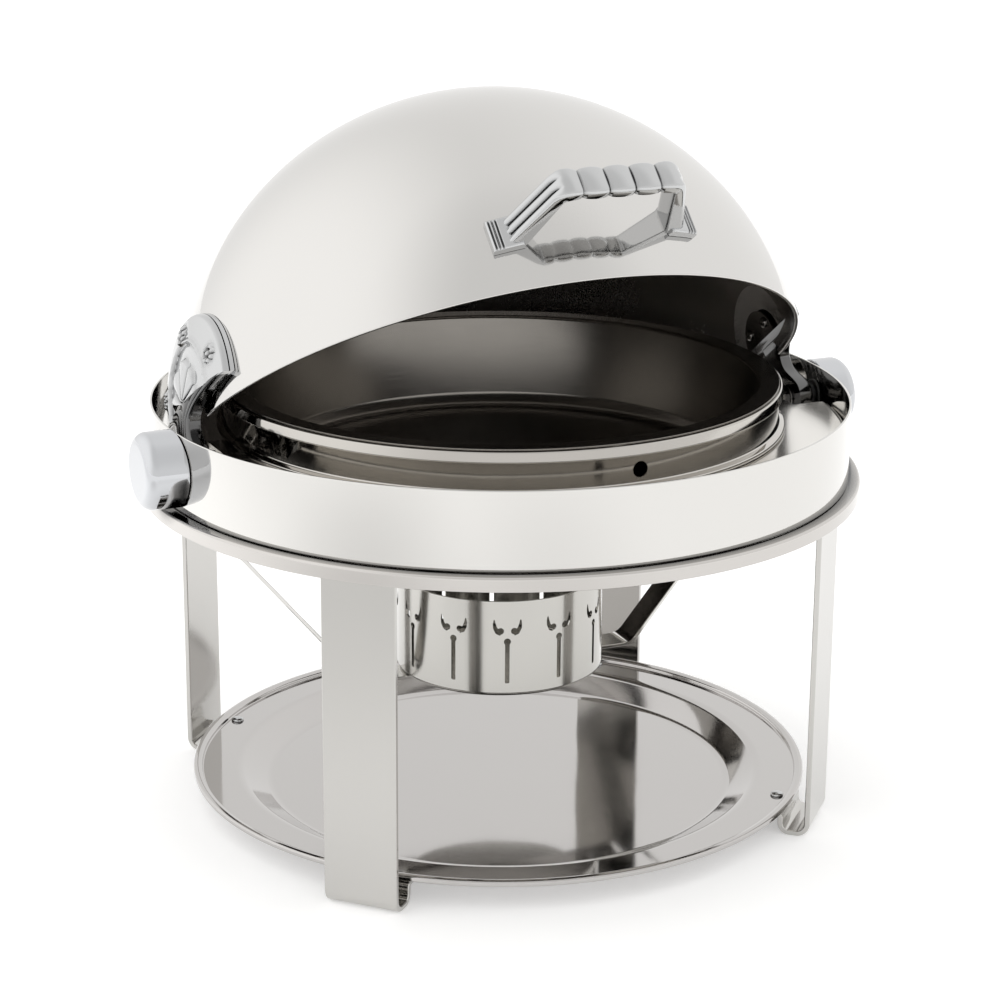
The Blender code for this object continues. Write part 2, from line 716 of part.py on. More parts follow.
def make_pivot(mats, side, sign):
    """What carries one side of the lid: a pin screwed into a knob, with a bush, washer and nut."""
    base = Matrix.Translation(PIVOT)
    bore = PIN_R + GAP
    deep = KNOB_LENGTH - KNOB_EDGE
    pin = drum("pin", PIN_R, PIN_IN_X, KNOB_OUT_X - KNOB_EDGE - GAP, WASHER_ROUND)
    add_object(f"pivot_pin_{side}", pin, mats["polished"], matrix=base @ along_x(0, sign))
    washer_x = ARM_IN_X - GAP - WASHER_H
    name = f"pivot_washer_{side}"
    washer(name, PIVOT_NUT_R, bore, mats["polished"], base @ along_x(washer_x, sign))
    nut_at = base @ along_x(washer_x - GAP - PIVOT_NUT_H, sign)
    size = {"radius": PIVOT_NUT_R, "height": PIVOT_NUT_H, "bore": bore}
    hex_nut(f"pivot_nut_{side}", mats["polished"], nut_at, **size)

    corner = [math.radians(22.5 * i) for i in range(5)]
    profile = [(0, deep), (0, KNOB_LENGTH)]
    profile += [
        (KNOB_R + KNOB_EDGE * (math.sin(a) - 1), KNOB_LENGTH + KNOB_EDGE * (math.cos(a) - 1))
        for a in corner
    ]
    profile += [(KNOB_R, 0), (bore, 0), (bore, deep)]
    mesh = turned("knob", profile, SMALL_ROUND)
    place = base @ along_x(KNOB_OUT_X - KNOB_LENGTH, sign)
    knob = add_object(f"pivot_knob_{side}", mesh, mats["chrome"], matrix=place)
    cut(knob, "band", drum("band", BAND_R + KNOB_GAP, BAND_BOTTOM / 2, BAND_TOP * 2, ROUND))

    length = BUSH_OUT_X - BUSH_IN_X
    flange_r = BUSH_R + BUSH_FLANGE
    profile = [
        (bore, 0),
        (bore, length),
        (BUSH_R, length),
        (BUSH_R, BUSH_FLANGE / 2),
        (flange_r, BUSH_FLANGE / 2),
        (flange_r, 0),
    ]
    bush = turned("bush", profile, WASHER_ROUND)
    add_object(f"pivot_bush_{side}", bush, mats["nylon"], matrix=base @ along_x(BUSH_IN_X, sign))


def make_back_plate(mats, lid, side, sign, plate, dome):
    """The steel plate inside the dome that the hinge screws pull against."""
    inner = DOME_INSIDE - BACK_PLATE_SHEET
    inner_x = sphere_x(0, PLATE_Z + BACK_PLATE_R, inner)
    mesh = half_disc("back", sign, BACK_PLATE_R, inner_x, DOME_INSIDE, 8)
    back = add_object(f"hinge_back_plate_{side}", mesh, mats["polished"], lid)
    for i, across in enumerate((-1, 1), start=1):
        place = Vector((sign * (inner_x - GAP), across * HINGE_SCREW_Y, HINGE_SCREW_Z))
        matrix = Matrix.Translation(place) @ Matrix.Rotation(-sign * math.pi / 2, 4, "Y")
        screw(f"hinge_screw_{side}_{i}", HINGE_SCREW_LENGTH, mats["polished"], matrix, lid)
        for piece in (back, dome, plate):
            drill(piece, f"{side}_screw_{i}", matrix, parent=lid, depth=2 * HINGE_SCREW_LENGTH + 1 * MM)


def handle_frame():
    """The frame of the handle: origin at the dome's centre, Z outwards, X to the right."""
    outward = Vector((0, -math.cos(HANDLE_RISE), math.sin(HANDLE_RISE)))
    up = Vector((0, math.sin(HANDLE_RISE), math.cos(HANDLE_RISE)))
    turn = Matrix((Vector((1, 0, 0)), up, outward)).transposed().to_4x4()
    return Matrix.Translation(DOME_CENTRE) @ turn


def make_handle(mats, lid, dome):
    """Two pads on the dome, slanting arms, and a grip with three lobes."""
    frame = handle_frame()
    foot_x = DOME_R * math.sin(HANDLE_AZIMUTH)
    foot_z = DOME_R * math.cos(HANDLE_AZIMUTH)
    grip_z = DOME_R + HANDLE_LIFT
    path = [(-foot_x, foot_z), (-GRIP_HALF, grip_z), (GRIP_HALF, grip_z), (foot_x, foot_z)]
    bend = GRIP_THICK
    mesh = strap("grip", rounded_path(path, [bend, bend]), GRIP_THICK, 0.8 * GRIP_WIDTH)
    handle = add_object("lid_handle", mesh, mats["chrome"], lid, frame)
    for i in (-1, 0, 1):
        lobe = drum("lobe", LOBE_R, -GRIP_WIDTH / 2, GRIP_WIDTH / 2, 12)
        lobe.transform(Matrix.Diagonal((1, GRIP_THICK * 0.65 / LOBE_R, 1, 1)))
        spot = frame @ shift(LOBE_PITCH * i, 0, grip_z) @ Matrix.Rotation(math.pi / 2, 4, "X")
        cut(handle, f"lobe_{i}", lobe, spot, lid, "UNION")
    half = Vector((FOOT_LENGTH / 2, FOOT_WIDTH / 2))
    foot_low, foot_top = DOME_R - 5 * MM, DOME_R + FOOT_THICK
    spots = {side: frame @ Matrix.Rotation(sign * HANDLE_AZIMUTH, 4, "Y") for side, sign in SIDES.items()}
    for side, out in spots.items():
        foot = block("foot", (-half.x, -half.y, foot_low), (half.x, half.y, foot_top))
        cut(handle, f"foot_{side}", foot, out, lid, "UNION")
    cut_dome_room(handle, lid)
    for side, out in spots.items():
        inside = out @ shift(0, 0, DOME_INSIDE) @ UPSIDE_DOWN
        washer(f"handle_washer_{side}", HANDLE_WASHER_R, HOLE_R, mats["polished"], inside, lid)
        screw_at = inside @ shift(0, 0, WASHER_H + GAP)
        screw(f"handle_screw_{side}", HANDLE_SCREW_LENGTH, mats["polished"], screw_at, lid)
        for piece in (dome, handle):
            drill(piece, f"handle_screw_{side}", inside, parent=lid, depth=2 * HANDLE_SCREW_LENGTH)
    return handle


def make_lid(mats):
    lid = bpy.data.objects.new("lid_pivot", None)
    bpy.context.scene.collection.objects.link(lid)
    lid.location = PIVOT
    lid.rotation_euler = (-LID_OPEN, 0, 0)
    dome = make_dome(mats, lid)
    for side, sign in SIDES.items():
        plate = make_hinge_plate(mats, lid, side, sign)
        make_pivot(mats, side, sign)
        make_back_plate(mats, lid, side, sign, plate, dome)
    make_handle(mats, lid, dome)


def main():
    clear_scene()
    mats = make_materials()
    ring = make_stand_ring(mats)
    make_legs(mats, ring)
    make_drip_tray(mats)
    make_band(mats)
    make_pan_support(mats)
    make_water_pan(mats)
    make_food_pan(mats)
    make_burner_holder(mats)
    make_burner_bracket(mats)
    make_lid(mats)


main()
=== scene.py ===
"""The looks of the round roll-top chafing dish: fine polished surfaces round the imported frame.

Metres, +Z up, front towards -Y. Sizes and places come from the frame's own boxes where a node has
them, and from the named values below for the finer shapes.
"""

import json
import math

import bmesh
import bpy
from mathutils import Matrix, Vector


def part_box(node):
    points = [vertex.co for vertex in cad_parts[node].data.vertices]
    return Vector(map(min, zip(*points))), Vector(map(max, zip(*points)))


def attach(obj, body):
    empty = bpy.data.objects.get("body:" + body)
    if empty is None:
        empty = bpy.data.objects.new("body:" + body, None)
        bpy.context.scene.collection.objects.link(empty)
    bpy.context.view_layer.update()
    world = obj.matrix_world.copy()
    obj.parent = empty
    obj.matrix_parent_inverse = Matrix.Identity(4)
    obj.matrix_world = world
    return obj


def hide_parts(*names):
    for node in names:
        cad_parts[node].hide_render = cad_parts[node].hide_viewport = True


MM = 0.001
TINY = 1e-7
SIDES = {"left": -1, "right": 1}
LEG_ANGLES = {"front_left": 223.4, "front_right": 316.6, "rear_right": 43.4, "rear_left": 136.6}
FINE = 288  # segments of the large turned pieces
MEDIUM = 96
SMALL = 40
ARC = 6  # stretches in a rounded corner
WELD = 1e-6  # points closer than this are one
SHARP = 32  # degrees between faces from which an edge stays sharp

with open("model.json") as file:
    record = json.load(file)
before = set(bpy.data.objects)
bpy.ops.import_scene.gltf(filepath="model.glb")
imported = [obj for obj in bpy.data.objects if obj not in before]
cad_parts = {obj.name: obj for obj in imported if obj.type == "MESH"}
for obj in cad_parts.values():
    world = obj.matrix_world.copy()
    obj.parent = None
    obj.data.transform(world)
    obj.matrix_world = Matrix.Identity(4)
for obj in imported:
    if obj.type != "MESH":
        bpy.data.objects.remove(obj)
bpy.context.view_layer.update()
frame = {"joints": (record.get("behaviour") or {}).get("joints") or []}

# ---------------------------------------------------------------- places taken from the frame

ROLL = next(joint for joint in frame["joints"] if joint["name"] == "lid_roll")
PIVOT = Vector(ROLL["pos_m"])
LID_OPEN = math.radians(-ROLL["range_deg"][0])


def low(node):
    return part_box(node)[0]


def high(node):
    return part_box(node)[1]


BAND_R = high("frame_band").y
BAND_BOTTOM = low("frame_band").z
BAND_TOP = high("frame_band").z
RING_R = high("stand_ring").y
RING_BOTTOM = low("stand_ring").z
RING_TOP = high("stand_ring").z
TRAY_R = high("drip_tray").y
TRAY_BOTTOM = low("drip_tray").z
TRAY_TOP = high("drip_tray").z
WATER_TOP = high("water_pan").z
WATER_BOTTOM = low("water_pan").z
WATER_BEAD_R = high("water_pan").y
FOOD_TOP = high("food_pan").z
FOOD_BOTTOM = low("food_pan").z
FOOD_R = high("food_pan").y
HOLDER_R = high("burner_holder").y
HOLDER_BOTTOM = low("burner_holder").z
HOLDER_TOP = high("burner_holder").z
BRACKET_LOW, BRACKET_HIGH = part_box("burner_bracket")
SUPPORT_TOP = high("pan_support").z
SUPPORT_BOTTOM = low("pan_support").z
KNOB_OUT = high("pivot_knob_right").x
KNOB_R = (high("pivot_knob_right").z - low("pivot_knob_right").z) / 2

# ---------------------------------------------------------------- finer sizes

GAP = 0.3 * MM  # between pieces that touch
SCREW_HEAD = 2.4 * MM  # height of every domed head
SHANK_R = 2 * MM
SMALL_HEAD_R = 3.8 * MM
TRAY_HEAD_R = 4.4 * MM
BRACKET_HEAD_R = 3.4 * MM
BURNER_HEAD_R = 5 * MM
RING_SCREW_LENGTH = 5.4 * MM
TRAY_SCREW_LENGTH = 8.8 * MM
BRACKET_SCREW_LENGTH = 4.2 * MM
BURNER_BOLT_LENGTH = 10 * MM
HINGE_SCREW_LENGTH = 8 * MM
HANDLE_SCREW_LENGTH = 6.5 * MM
NUT_R = 4 * MM
NUT_HEIGHT = 3.2 * MM
NUT_BORE = 2.4 * MM

BAND_WALL = 1.5 * MM
RING_INNER_R = 228 * MM
RING_SHEET = 1.8 * MM
LEG_R = 229 * MM
LEG_WIDTH = 50 * MM
LEG_SHEET = 3.6 * MM
LEG_TOP_TAB = 10 * MM
LEG_CURL = 22 * MM
LEG_TOE = 33 * MM
LEG_BEND = 7.5 * MM
TRAY_TAB_TOP = 15.6 * MM
TRAY_SCREW_R = 200.5 * MM
RING_SCREW_R = 234.2 * MM
TRAY_FLANGE = 17.1 * MM
TRAY_FLOOR = 5.5 * MM
TRAY_FLOOR_R = 160 * MM
TRAY_WALL_R = 181 * MM
TRAY_SHEET = 1.2 * MM
TRAY_BEAD = 6 * MM
SUPPORT_SHEET = 1.8 * MM
SUPPORT_INNER_R = 188.5 * MM
SUPPORT_HORN_X = 201 * MM  # from here out the crescent ends further forwards
SUPPORT_HORN_Y = -48 * MM
SUPPORT_CORNER = 16 * MM
PAN_SHEET = 1 * MM
WATER_RIM_R = 190 * MM
WATER_WALL_R = 185 * MM
WATER_FOOT_R = 172 * MM
WATER_BEAD_Z = 265.6 * MM
FOOD_WALL_R = 172.5 * MM
FOOD_FOOT_R = 160 * MM
VENT_ANGLE = 273
VENT_R = 5.2 * MM
VENT_Z = 277 * MM
HOLDER_SHEET = 1.2 * MM
HOLDER_CUTS = 12
HOLDER_FIRST_CUT = -80  # degrees
SLOT_HALF = 1.55 * MM
SLOT_LOW = 99 * MM
SLOT_HIGH = 128 * MM
BRACKET_SHEET = 2.4 * MM
BRACKET_SIDE_X = 186.6 * MM
BRACKET_SCREW_X = 196 * MM
DOME_R = 213.5 * MM
DOME_SHEET = 1.2 * MM
DOME_CENTRE = Vector((0, 14 * MM, 23.8 * MM))  # in the lid's frame
DOME_RIM_Z = 27.4 * MM
HEM_HEIGHT = 5 * MM
NOTCH_HALF = 15 * MM
NOTCH_TOP = 40 * MM
NOTCH_CHAMFER = 7 * MM
PLATE_R = 57 * MM
PLATE_Z = 42 * MM
PLATE_THICK = 9.5 * MM
ARM_WAIST = 11 * MM  # half of its width
ARM_BACKWARD = 9 * MM
ARM_SWEEP = 6
ARM_IN_X = 215.3 * MM
ARM_OUT_X = 228.6 * MM
ARM_RIB = 1.5 * MM
HUB_R = 19 * MM
PIN_R = 5 * MM
PIN_BORE = 5.3 * MM
PIVOT_NUT_R = 9 * MM
PIVOT_NUT_HEIGHT = 6.5 * MM
WASHER_THICK = 1.2 * MM
BUSH_X = 229 * MM
BUSH_LENGTH = 5 * MM
BACK_PLATE_R = 23 * MM
BACK_SCREW_Y = 13 * MM
BACK_SCREW_Z = 53 * MM
KNOB_EDGE = 8 * MM
KNOB_GAP = 0.5 * MM  # between the knob's saddle and the band
HANDLE_AZIMUTH = math.radians(16)
ARM_AZIMUTH = math.radians(14.2)
HANDLE_RISE = math.radians(11.5)
HANDLE_LIFT = 42 * MM
GRIP_HALF = 38.5 * MM
LOBE_PITCH = 17.4 * MM
HANDLE_BEND = 7 * MM
HANDLE_WASHER_R = 7 * MM
FOOT_LENGTH = 20 * MM
FOOT_WIDTH = 22 * MM
FOOT_THICK = 5.5 * MM

ROSETTES = [22, 90, 158]  # degrees round the hinge plate
ROSETTE_REACH = 47 * MM
ROSETTE_RING = 4.8 * MM
ROSETTE_BEADS = 8
PLATE_EDGE = 2.2 * MM
ARCH_HALF = 36 * MM
ARCH_HEIGHT = 41 * MM
ARCH_RIDGE = 1.6 * MM
ARCH_DEPTH = 1.5 * MM
FAN_HALF = 22 * MM
FAN_HEIGHT = 30 * MM
FAN_PLEATS = 9

CAMERA_AZIMUTH = -24.5  # degrees from the front
CAMERA_ELEVATION = 17.02
CAMERA_ROLL = math.radians(0.38)
CAMERA_DISTANCE = 1.82
CAMERA_LENS = 95.9
LOOK_AT = Vector((0, 0, 0.2057))

LID = Matrix.Translation(PIVOT) @ Matrix.Rotation(-LID_OPEN, 4, "X")

FLOOR_GLOW = 0.3
INSIDE_BLUR = 0.2  # added to the roughness of the dome's inner face
# azimuth, elevation, half angle of the even middle, half angle of the soft edge, change of level
TENT_PATCHES = [
    (-115, 18, 12, 70, 0.34),
    (95, 25, 8, 60, 0.10),
    (-10, 55, 8, 50, -0.12),
]
# azimuth, distance from the middle, radius, change of the floor's glow
FLOOR_SPOTS = [
    (-125, 0.87, 0.75, 0.24),
    (-60, 0.87, 0.55, -0.26),
    (-10, 0.87, 0.55, -0.14),
]


# ---------------------------------------------------------------- materials


class Nodes:
    """Short calls for wiring a material's or a world's node tree."""

    def __init__(self, tree):
        self.tree = tree

    def add(self, kind, settings=None, **inputs):
        node = self.tree.nodes.new(kind)
        for key, value in (settings or {}).items():
            setattr(node, key, value)
        for key, value in inputs.items():
            self.put(node.inputs[key.replace("_", " ")], value)
        return node

    def put(self, socket, value):
        if isinstance(value, bpy.types.NodeSocket):
            self.tree.links.new(value, socket)
        else:
            socket.default_value = value

    def maths(self, operation, *values):
        node = self.tree.nodes.new("ShaderNodeMath")
        node.operation = operation
        for socket, value in zip(node.inputs, values):
            self.put(socket, value)
        return node.outputs[0]

    def remap(self, value, low_in, high_in, low_out, high_out, smooth=False):
        node = self.tree.nodes.new("ShaderNodeMapRange")
        node.interpolation_type = "SMOOTHSTEP" if smooth else "LINEAR"
        for socket, number in zip(node.inputs, (value, low_in, high_in, low_out, high_out)):
            self.put(socket, number)
        return node.outputs[0]


def new_material(name):
    material = bpy.data.materials.new(name)
    material.use_nodes = True
    nodes = Nodes(material.node_tree)
    shader = material.node_tree.nodes["Principled BSDF"]
    return material, nodes, shader


def two_tone(nodes, factor, dark, light):
    """The mix of two colours by that factor."""
    mix = nodes.add("ShaderNodeMix", {"data_type": "RGBA"}, Factor=factor)
    mix.inputs[6].default_value = (*dark, 1)
    mix.inputs[7].default_value = (*light, 1)
    return mix.outputs[2]


def noise(nodes, coordinates, scale, detail=3.0, rough=0.5):
    node = nodes.add("ShaderNodeTexNoise", Vector=coordinates, Scale=scale, Detail=detail, Roughness=rough)
    return node.outputs["Fac"]


def steel(name, colour, roughness, waviness=0.006, spread=0.03, painted_shade_reach=0, alone=True):
    """Polished metal: a hardly visible wave, faint cloudiness, fine polishing marks, and where a reach is
    given for it, painted shade: the colour darkens in grooves and corners by ambient occlusion; when not
    alone, also where another piece is close."""
    material, nodes, shader = new_material(name)
    place = nodes.add("ShaderNodeTexCoord").outputs["Object"]
    cloud = noise(nodes, place, 14, 4)
    marks = noise(nodes, place, 900, 2)
    rough = nodes.remap(cloud, 0.3, 0.7, roughness, roughness + spread)
    rough = nodes.maths("ADD", rough, nodes.remap(marks, 0.45, 0.7, 0, spread / 2))
    nodes.put(shader.inputs["Roughness"], rough)
    shader.inputs["Base Color"].default_value = (*colour, 1)
    if painted_shade_reach:
        # painted shade: the base colour goes towards near black where ambient occlusion finds grooves,
        # corners and, when not alone, nearby pieces
        settings = {"only_local": alone, "samples": 8}
        painted_shade_ao = nodes.add("ShaderNodeAmbientOcclusion", settings, Distance=painted_shade_reach)
        level = nodes.remap(painted_shade_ao.outputs["AO"], 0.55, 0.97, 0.05, 1.0)
        nodes.put(shader.inputs["Base Color"], two_tone(nodes, level, (0.02, 0.02, 0.02), colour))
    shader.inputs["Metallic"].default_value = 1
    wave = noise(nodes, place, 9, 1)
    bump = nodes.add("ShaderNodeBump", Height=wave, Strength=1.0, Distance=waviness * 0.1)
    nodes.put(shader.inputs["Normal"], bump.outputs[0])
    return material


def lid_steel(name, colour, inner_shade_colour, roughness):
    """The dome's steel: polished outside; on the face within its shell's middle radius rougher, with a
    darker colour that is painted shade for the dome's dark inside.
    """
    material = steel(name, colour, roughness)
    nodes = Nodes(material.node_tree)
    shader = material.node_tree.nodes["Principled BSDF"]
    away = nodes.add("ShaderNodeVectorMath", {"operation": "DISTANCE"})
    nodes.put(away.inputs[0], nodes.add("ShaderNodeTexCoord").outputs["Object"])
    away.inputs[1].default_value = LID @ DOME_CENTRE
    outside = nodes.maths("GREATER_THAN", away.outputs["Value"], DOME_R - DOME_SHEET / 2)
    # painted shade: the inner face takes the darker colour, for the shade inside the dome
    nodes.put(shader.inputs["Base Color"], two_tone(nodes, outside, inner_shade_colour, colour))
    rough = shader.inputs["Roughness"].links[0].from_socket
    blur = nodes.remap(outside, 0, 1, INSIDE_BLUR, 0)
    nodes.put(shader.inputs["Roughness"], nodes.maths("ADD", rough, blur))
    return material


def satin(name, colour, roughness):
    """Spun and brushed sheet: fine rings round Z that blur what the wall reflects."""
    material, nodes, shader = new_material(name)
    place = nodes.add("ShaderNodeTexCoord").outputs["Object"]
    split = nodes.add("ShaderNodeSeparateXYZ", Vector=place)
    x, y, z = split.outputs
    squares = nodes.maths("ADD", nodes.maths("MULTIPLY", x, x), nodes.maths("MULTIPLY", y, y))
    radius = nodes.maths("SQRT", squares)
    rings = nodes.add("ShaderNodeCombineXYZ", X=radius, Y=z, Z=nodes.maths("MULTIPLY", x, 0.02))
    grain = noise(nodes, rings.outputs[0], 2500, 2)
    cloud = noise(nodes, place, 18, 3)
    rough = nodes.remap(grain, 0.3, 0.7, roughness - 0.02, roughness + 0.02)
    rough = nodes.maths("ADD", rough, nodes.remap(cloud, 0.3, 0.7, 0, 0.03))
    nodes.put(shader.inputs["Roughness"], rough)
    shader.inputs["Base Color"].default_value = (*colour, 1)
    shader.inputs["Metallic"].default_value = 1
    bump = nodes.add("ShaderNodeBump", Height=grain, Strength=0.1, Distance=0.00002)
    nodes.put(shader.inputs["Normal"], bump.outputs[0])
    return material


def nylon(name):
    material, nodes, shader = new_material(name)
    place = nodes.add("ShaderNodeTexCoord").outputs["Object"]
    grain = noise(nodes, place, 2500, 2)
    shader.inputs["Base Color"].default_value = (0.012, 0.012, 0.012, 1)
    nodes.put(shader.inputs["Roughness"], nodes.remap(grain, 0.3, 0.7, 0.4, 0.55))
    bump = nodes.add("ShaderNodeBump", Height=grain, Strength=0.3, Distance=0.0001)
    nodes.put(shader.inputs["Normal"], bump.outputs[0])
    return material


MATS = {
    "polished_steel": steel("polished_steel", (0.67, 0.66, 0.64), 0.035),
    "lid_steel": lid_steel("lid_steel", (0.64, 0.63, 0.615), (0.34, 0.32, 0.30), 0.045),
    "leg_steel": steel("leg_steel", (0.55, 0.54, 0.52), 0.10),
    # ring steel: painted shade by ambient occlusion where the band and the legs come close
    "ring_steel": steel("ring_steel", (0.57, 0.55, 0.53), 0.06, painted_shade_reach=12 * MM, alone=False),
    "holder_steel": steel("holder_steel", (0.52, 0.51, 0.485), 0.13),
    # painted shade: a dark steel for the pivot nuts and washers, the back plates and their screws, which
    # sit in the shade inside the lid
    "painted_shade_steel": steel("painted_shade_steel", (0.24, 0.23, 0.22), 0.15),
    "pan_steel": steel("pan_steel", (0.51, 0.49, 0.46), 0.05),
    "support_steel": steel("support_steel", (0.80, 0.78, 0.745), 0.16),
    "tray_steel": steel("tray_steel", (0.52, 0.505, 0.495), 0.05),
    "satin_steel": satin("satin_steel", (0.30, 0.283, 0.26), 0.20),
    # chrome and the arm's chrome: painted shade by ambient occlusion in grooves and corners
    "chrome": steel("chrome", (0.53, 0.535, 0.54), 0.05, 0.002, 0.02, 4 * MM),
    # painted shade: the hinge arm is the same chrome casting as the plate, given a near black colour for
    # the shade it sits in
    "arm_chrome_painted_shade": steel("arm_chrome_painted_shade", (0.14, 0.14, 0.14), 0.10, 0.002, 0.02, 4 * MM),
    "knob_chrome": steel("knob_chrome", (0.57, 0.58, 0.60), 0.06, 0.002, 0.02),
    "nylon": nylon("nylon"),
}


# ---------------------------------------------------------------- shapes


def rounded(points, steps=ARC):
    """The closed outline with an arc at each corner (a, b, radius); a corner with no radius is left."""
    out = []
    count = len(points)
    for i, point in enumerate(points):
        corner = Vector(point[:2])
        radius = point[2] if len(point) > 2 else 0
        before = Vector(points[i - 1][:2]) - corner
        after = Vector(points[(i + 1) % count][:2]) - corner
        if not radius:
            out.append(corner)
            continue
        half = before.angle(after) / 2
        reach = radius / math.tan(half)
        limit = 0.49 * min(before.length, after.length)
        if reach > limit:
            reach, radius = limit, limit * math.tan(half)
        middle = (before.normalized() + after.normalized()).normalized()
        centre = corner + middle * (radius / math.sin(half))
        first = corner + before.normalized() * reach - centre
        last = corner + after.normalized() * reach - centre
        turn = -first.angle_signed(last)
        for k in range(steps + 1):
            out.append(centre + Matrix.Rotation(turn * k / steps, 2) @ first)
    return [(p.x, p.y) for p in out]


def mesh_from(name, verts, faces):
    mesh = bpy.data.meshes.new(name)
    mesh.from_pydata(verts, [], faces)
    bm = bmesh.new()
    bm.from_mesh(mesh)
    bmesh.ops.remove_doubles(bm, verts=bm.verts, dist=WELD)
    bmesh.ops.dissolve_degenerate(bm, edges=bm.edges, dist=TINY)
    bmesh.ops.recalc_face_normals(bm, faces=bm.faces)
    bm.to_mesh(mesh)
    bm.free()
    return mesh


def lathe(name, outline, segments=FINE):
    """A closed (radius, height) outline turned about Z."""
    verts, faces = [], []
    count = len(outline)
    for i in range(segments):
        angle = math.tau * i / segments
        c, s = math.cos(angle), math.sin(angle)
        verts += [(r * c, r * s, z) for r, z in outline]
    for i in range(segments):
        one, two = i * count, ((i + 1) % segments) * count
        for k in range(count):
            n = (k + 1) % count
            if outline[k][0] < TINY and outline[n][0] < TINY:
                continue
            faces.append((one + k, two + k, two + n, one + n))
    return mesh_from(name, verts, faces)


def prism(name, outline, depth):
    """The closed outline of 3-D points pushed along the depth vector."""
    count = len(outline)
    depth = Vector(depth)
    verts = [Vector(p) for p in outline]
    verts += [p + depth for p in verts]
    faces = [(i, (i + 1) % count, count + (i + 1) % count, count + i) for i in range(count)]
    faces += [tuple(range(count)), tuple(range(count, 2 * count))]
    return mesh_from(name, verts, faces)


def loft(name, rings):
    """A skin through closed rings of points, capped at both ends."""
    count = len(rings[0])
    faces = []
    for i in range(len(rings) - 1):
        for k in range(count):
            n = (k + 1) % count
            faces.append((i * count + k, i * count + n, (i + 1) * count + n, (i + 1) * count + k))
    faces.append(tuple(range(count)))
    faces.append(tuple(range((len(rings) - 1) * count, len(rings) * count)))
    return mesh_from(name, [point for ring in rings for point in ring], faces)


def smooth(mesh, degrees=SHARP):
    mesh.shade_smooth()
    mesh.set_sharp_from_angle(angle=math.radians(degrees))
    return mesh


def apply_modifiers(obj):
    bpy.context.view_layer.update()
    graph = bpy.context.evaluated_depsgraph_get()
    mesh = bpy.data.meshes.new_from_object(obj.evaluated_get(graph))
    obj.modifiers.clear()
    obj.data = mesh


def bare(name, mesh, matrix=None):
    obj = bpy.data.objects.new(name, mesh)
    bpy.context.scene.collection.objects.link(obj)
    if matrix:
        obj.matrix_world = matrix
    return obj


def combine(target, tool, operation="DIFFERENCE"):
    modifier = target.modifiers.new(operation.lower(), "BOOLEAN")
    modifier.operation = operation
    modifier.solver = "EXACT"
    modifier.object = tool
    apply_modifiers(target)
    bpy.data.objects.remove(tool)


def piece(name, mesh, finish, body, nodes, matrix=None, weigh=True, angle=SHARP):
    """A visible piece that rides on a body and stands for the named CAD nodes."""
    obj = mesh if isinstance(mesh, bpy.types.Object) else bare(name, mesh, matrix)
    obj.name = name
    obj.data.materials.clear()
    obj.data.materials.append(MATS[finish])
    if weigh:
        smooth(obj.data, angle)
        obj.modifiers.new("normals", "WEIGHTED_NORMAL").keep_sharp = True
    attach(obj, body)
    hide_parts(*nodes)
    return obj


def shift(x, y, z):
    return Matrix.Translation((x, y, z))


def turn_z(degrees):
    return Matrix.Rotation(math.radians(degrees), 4, "Z")


def along_x(x, side=1):
    """Stands a piece made along Z on the X axis, pointing outwards on that side."""
    return shift(side * x, 0, 0) @ Matrix.Rotation(side * math.pi / 2, 4, "Y")


UPSIDE_DOWN = Matrix.Rotation(math.pi, 4, "X")


def bent_path(corners, steps=10):
    """An open (x, z) line with an arc at each corner (x, z, radius)."""
    out = [Vector(corners[0][:2])]
    for before, corner, after in zip(corners, corners[1:], corners[2:]):
        arc = rounded([before[:2], corner, after[:2]], steps)
        out += [Vector(p) for p in arc[1:-1]]
    out.append(Vector(corners[-1][:2]))
    return out


def strap(name, path, thickness, width):
    """Flat sheet bent along the path, as wide as said along Y, with its long edges eased."""
    left, right = [], []
    for i, point in enumerate(path):
        before = path[max(i - 1, 0)]
        after = path[min(i + 1, len(path) - 1)]
        into = (point - before).normalized() if i else (after - point).normalized()
        out = (after - point).normalized() if i < len(path) - 1 else into
        side = (into + out).normalized()
        normal = Vector((-side.y, side.x))
        reach = thickness / 2 / side.dot(into)
        left.append(point + normal * reach)
        right.append(point - normal * reach)
    half, flat, side = width / 2, width / 2 - 0.16 * thickness, 0.7
    section = [(-half, -side), (-flat, -1), (flat, -1), (half, -side)]
    section += [(half, side), (flat, 1), (-flat, 1), (-half, side)]
    rings = []
    for a, b in zip(left, right):
        middle, half = (a + b) / 2, (a - b) / 2
        rings.append([(middle.x + half.x * t, y, middle.y + half.y * t) for y, t in section])
    return loft(name, rings)


# ---------------------------------------------------------------- fasteners


def domed_head(name, head_r, length):
    """A smooth domed screw head over Z = 0 with its shank below."""
    upright = SCREW_HEAD / 4
    outline = [(0, -length), (SHANK_R, -length), (SHANK_R, 0), (head_r, 0)]
    for i in range(ARC):
        a = math.pi / 2 * i / ARC
        outline.append((head_r * math.cos(a), upright + (SCREW_HEAD - upright) * math.sin(a)))
    outline.append((0, SCREW_HEAD))
    return lathe(name, outline, SMALL)


def hexagon(name, radius=NUT_R, height=NUT_HEIGHT, bore=NUT_BORE):
    """A nut: a hexagon with chamfered corners and an open bore."""
    obj = bare(name, lathe(name, rounded([
        (bore, 0), (radius, 0, 0.1 * radius), (radius, height, 0.1 * radius), (bore, height)
    ]), SMALL))
    sides = [math.tau * i / 6 for i in range(6)]
    block = prism("hex", [(radius * math.cos(a), radius * math.sin(a), -height) for a in sides],
                  (0, 0, 3 * height))
    combine(obj, bare("hex", block), "INTERSECT")
    mesh = obj.data
    bpy.data.objects.remove(obj)
    return mesh


def screw(node, head_r, length, spot, body="stand", finish="polished_steel"):
    mesh = domed_head(node, head_r, length)
    piece(f"{node}_fine", mesh, finish, body, [node], spot)


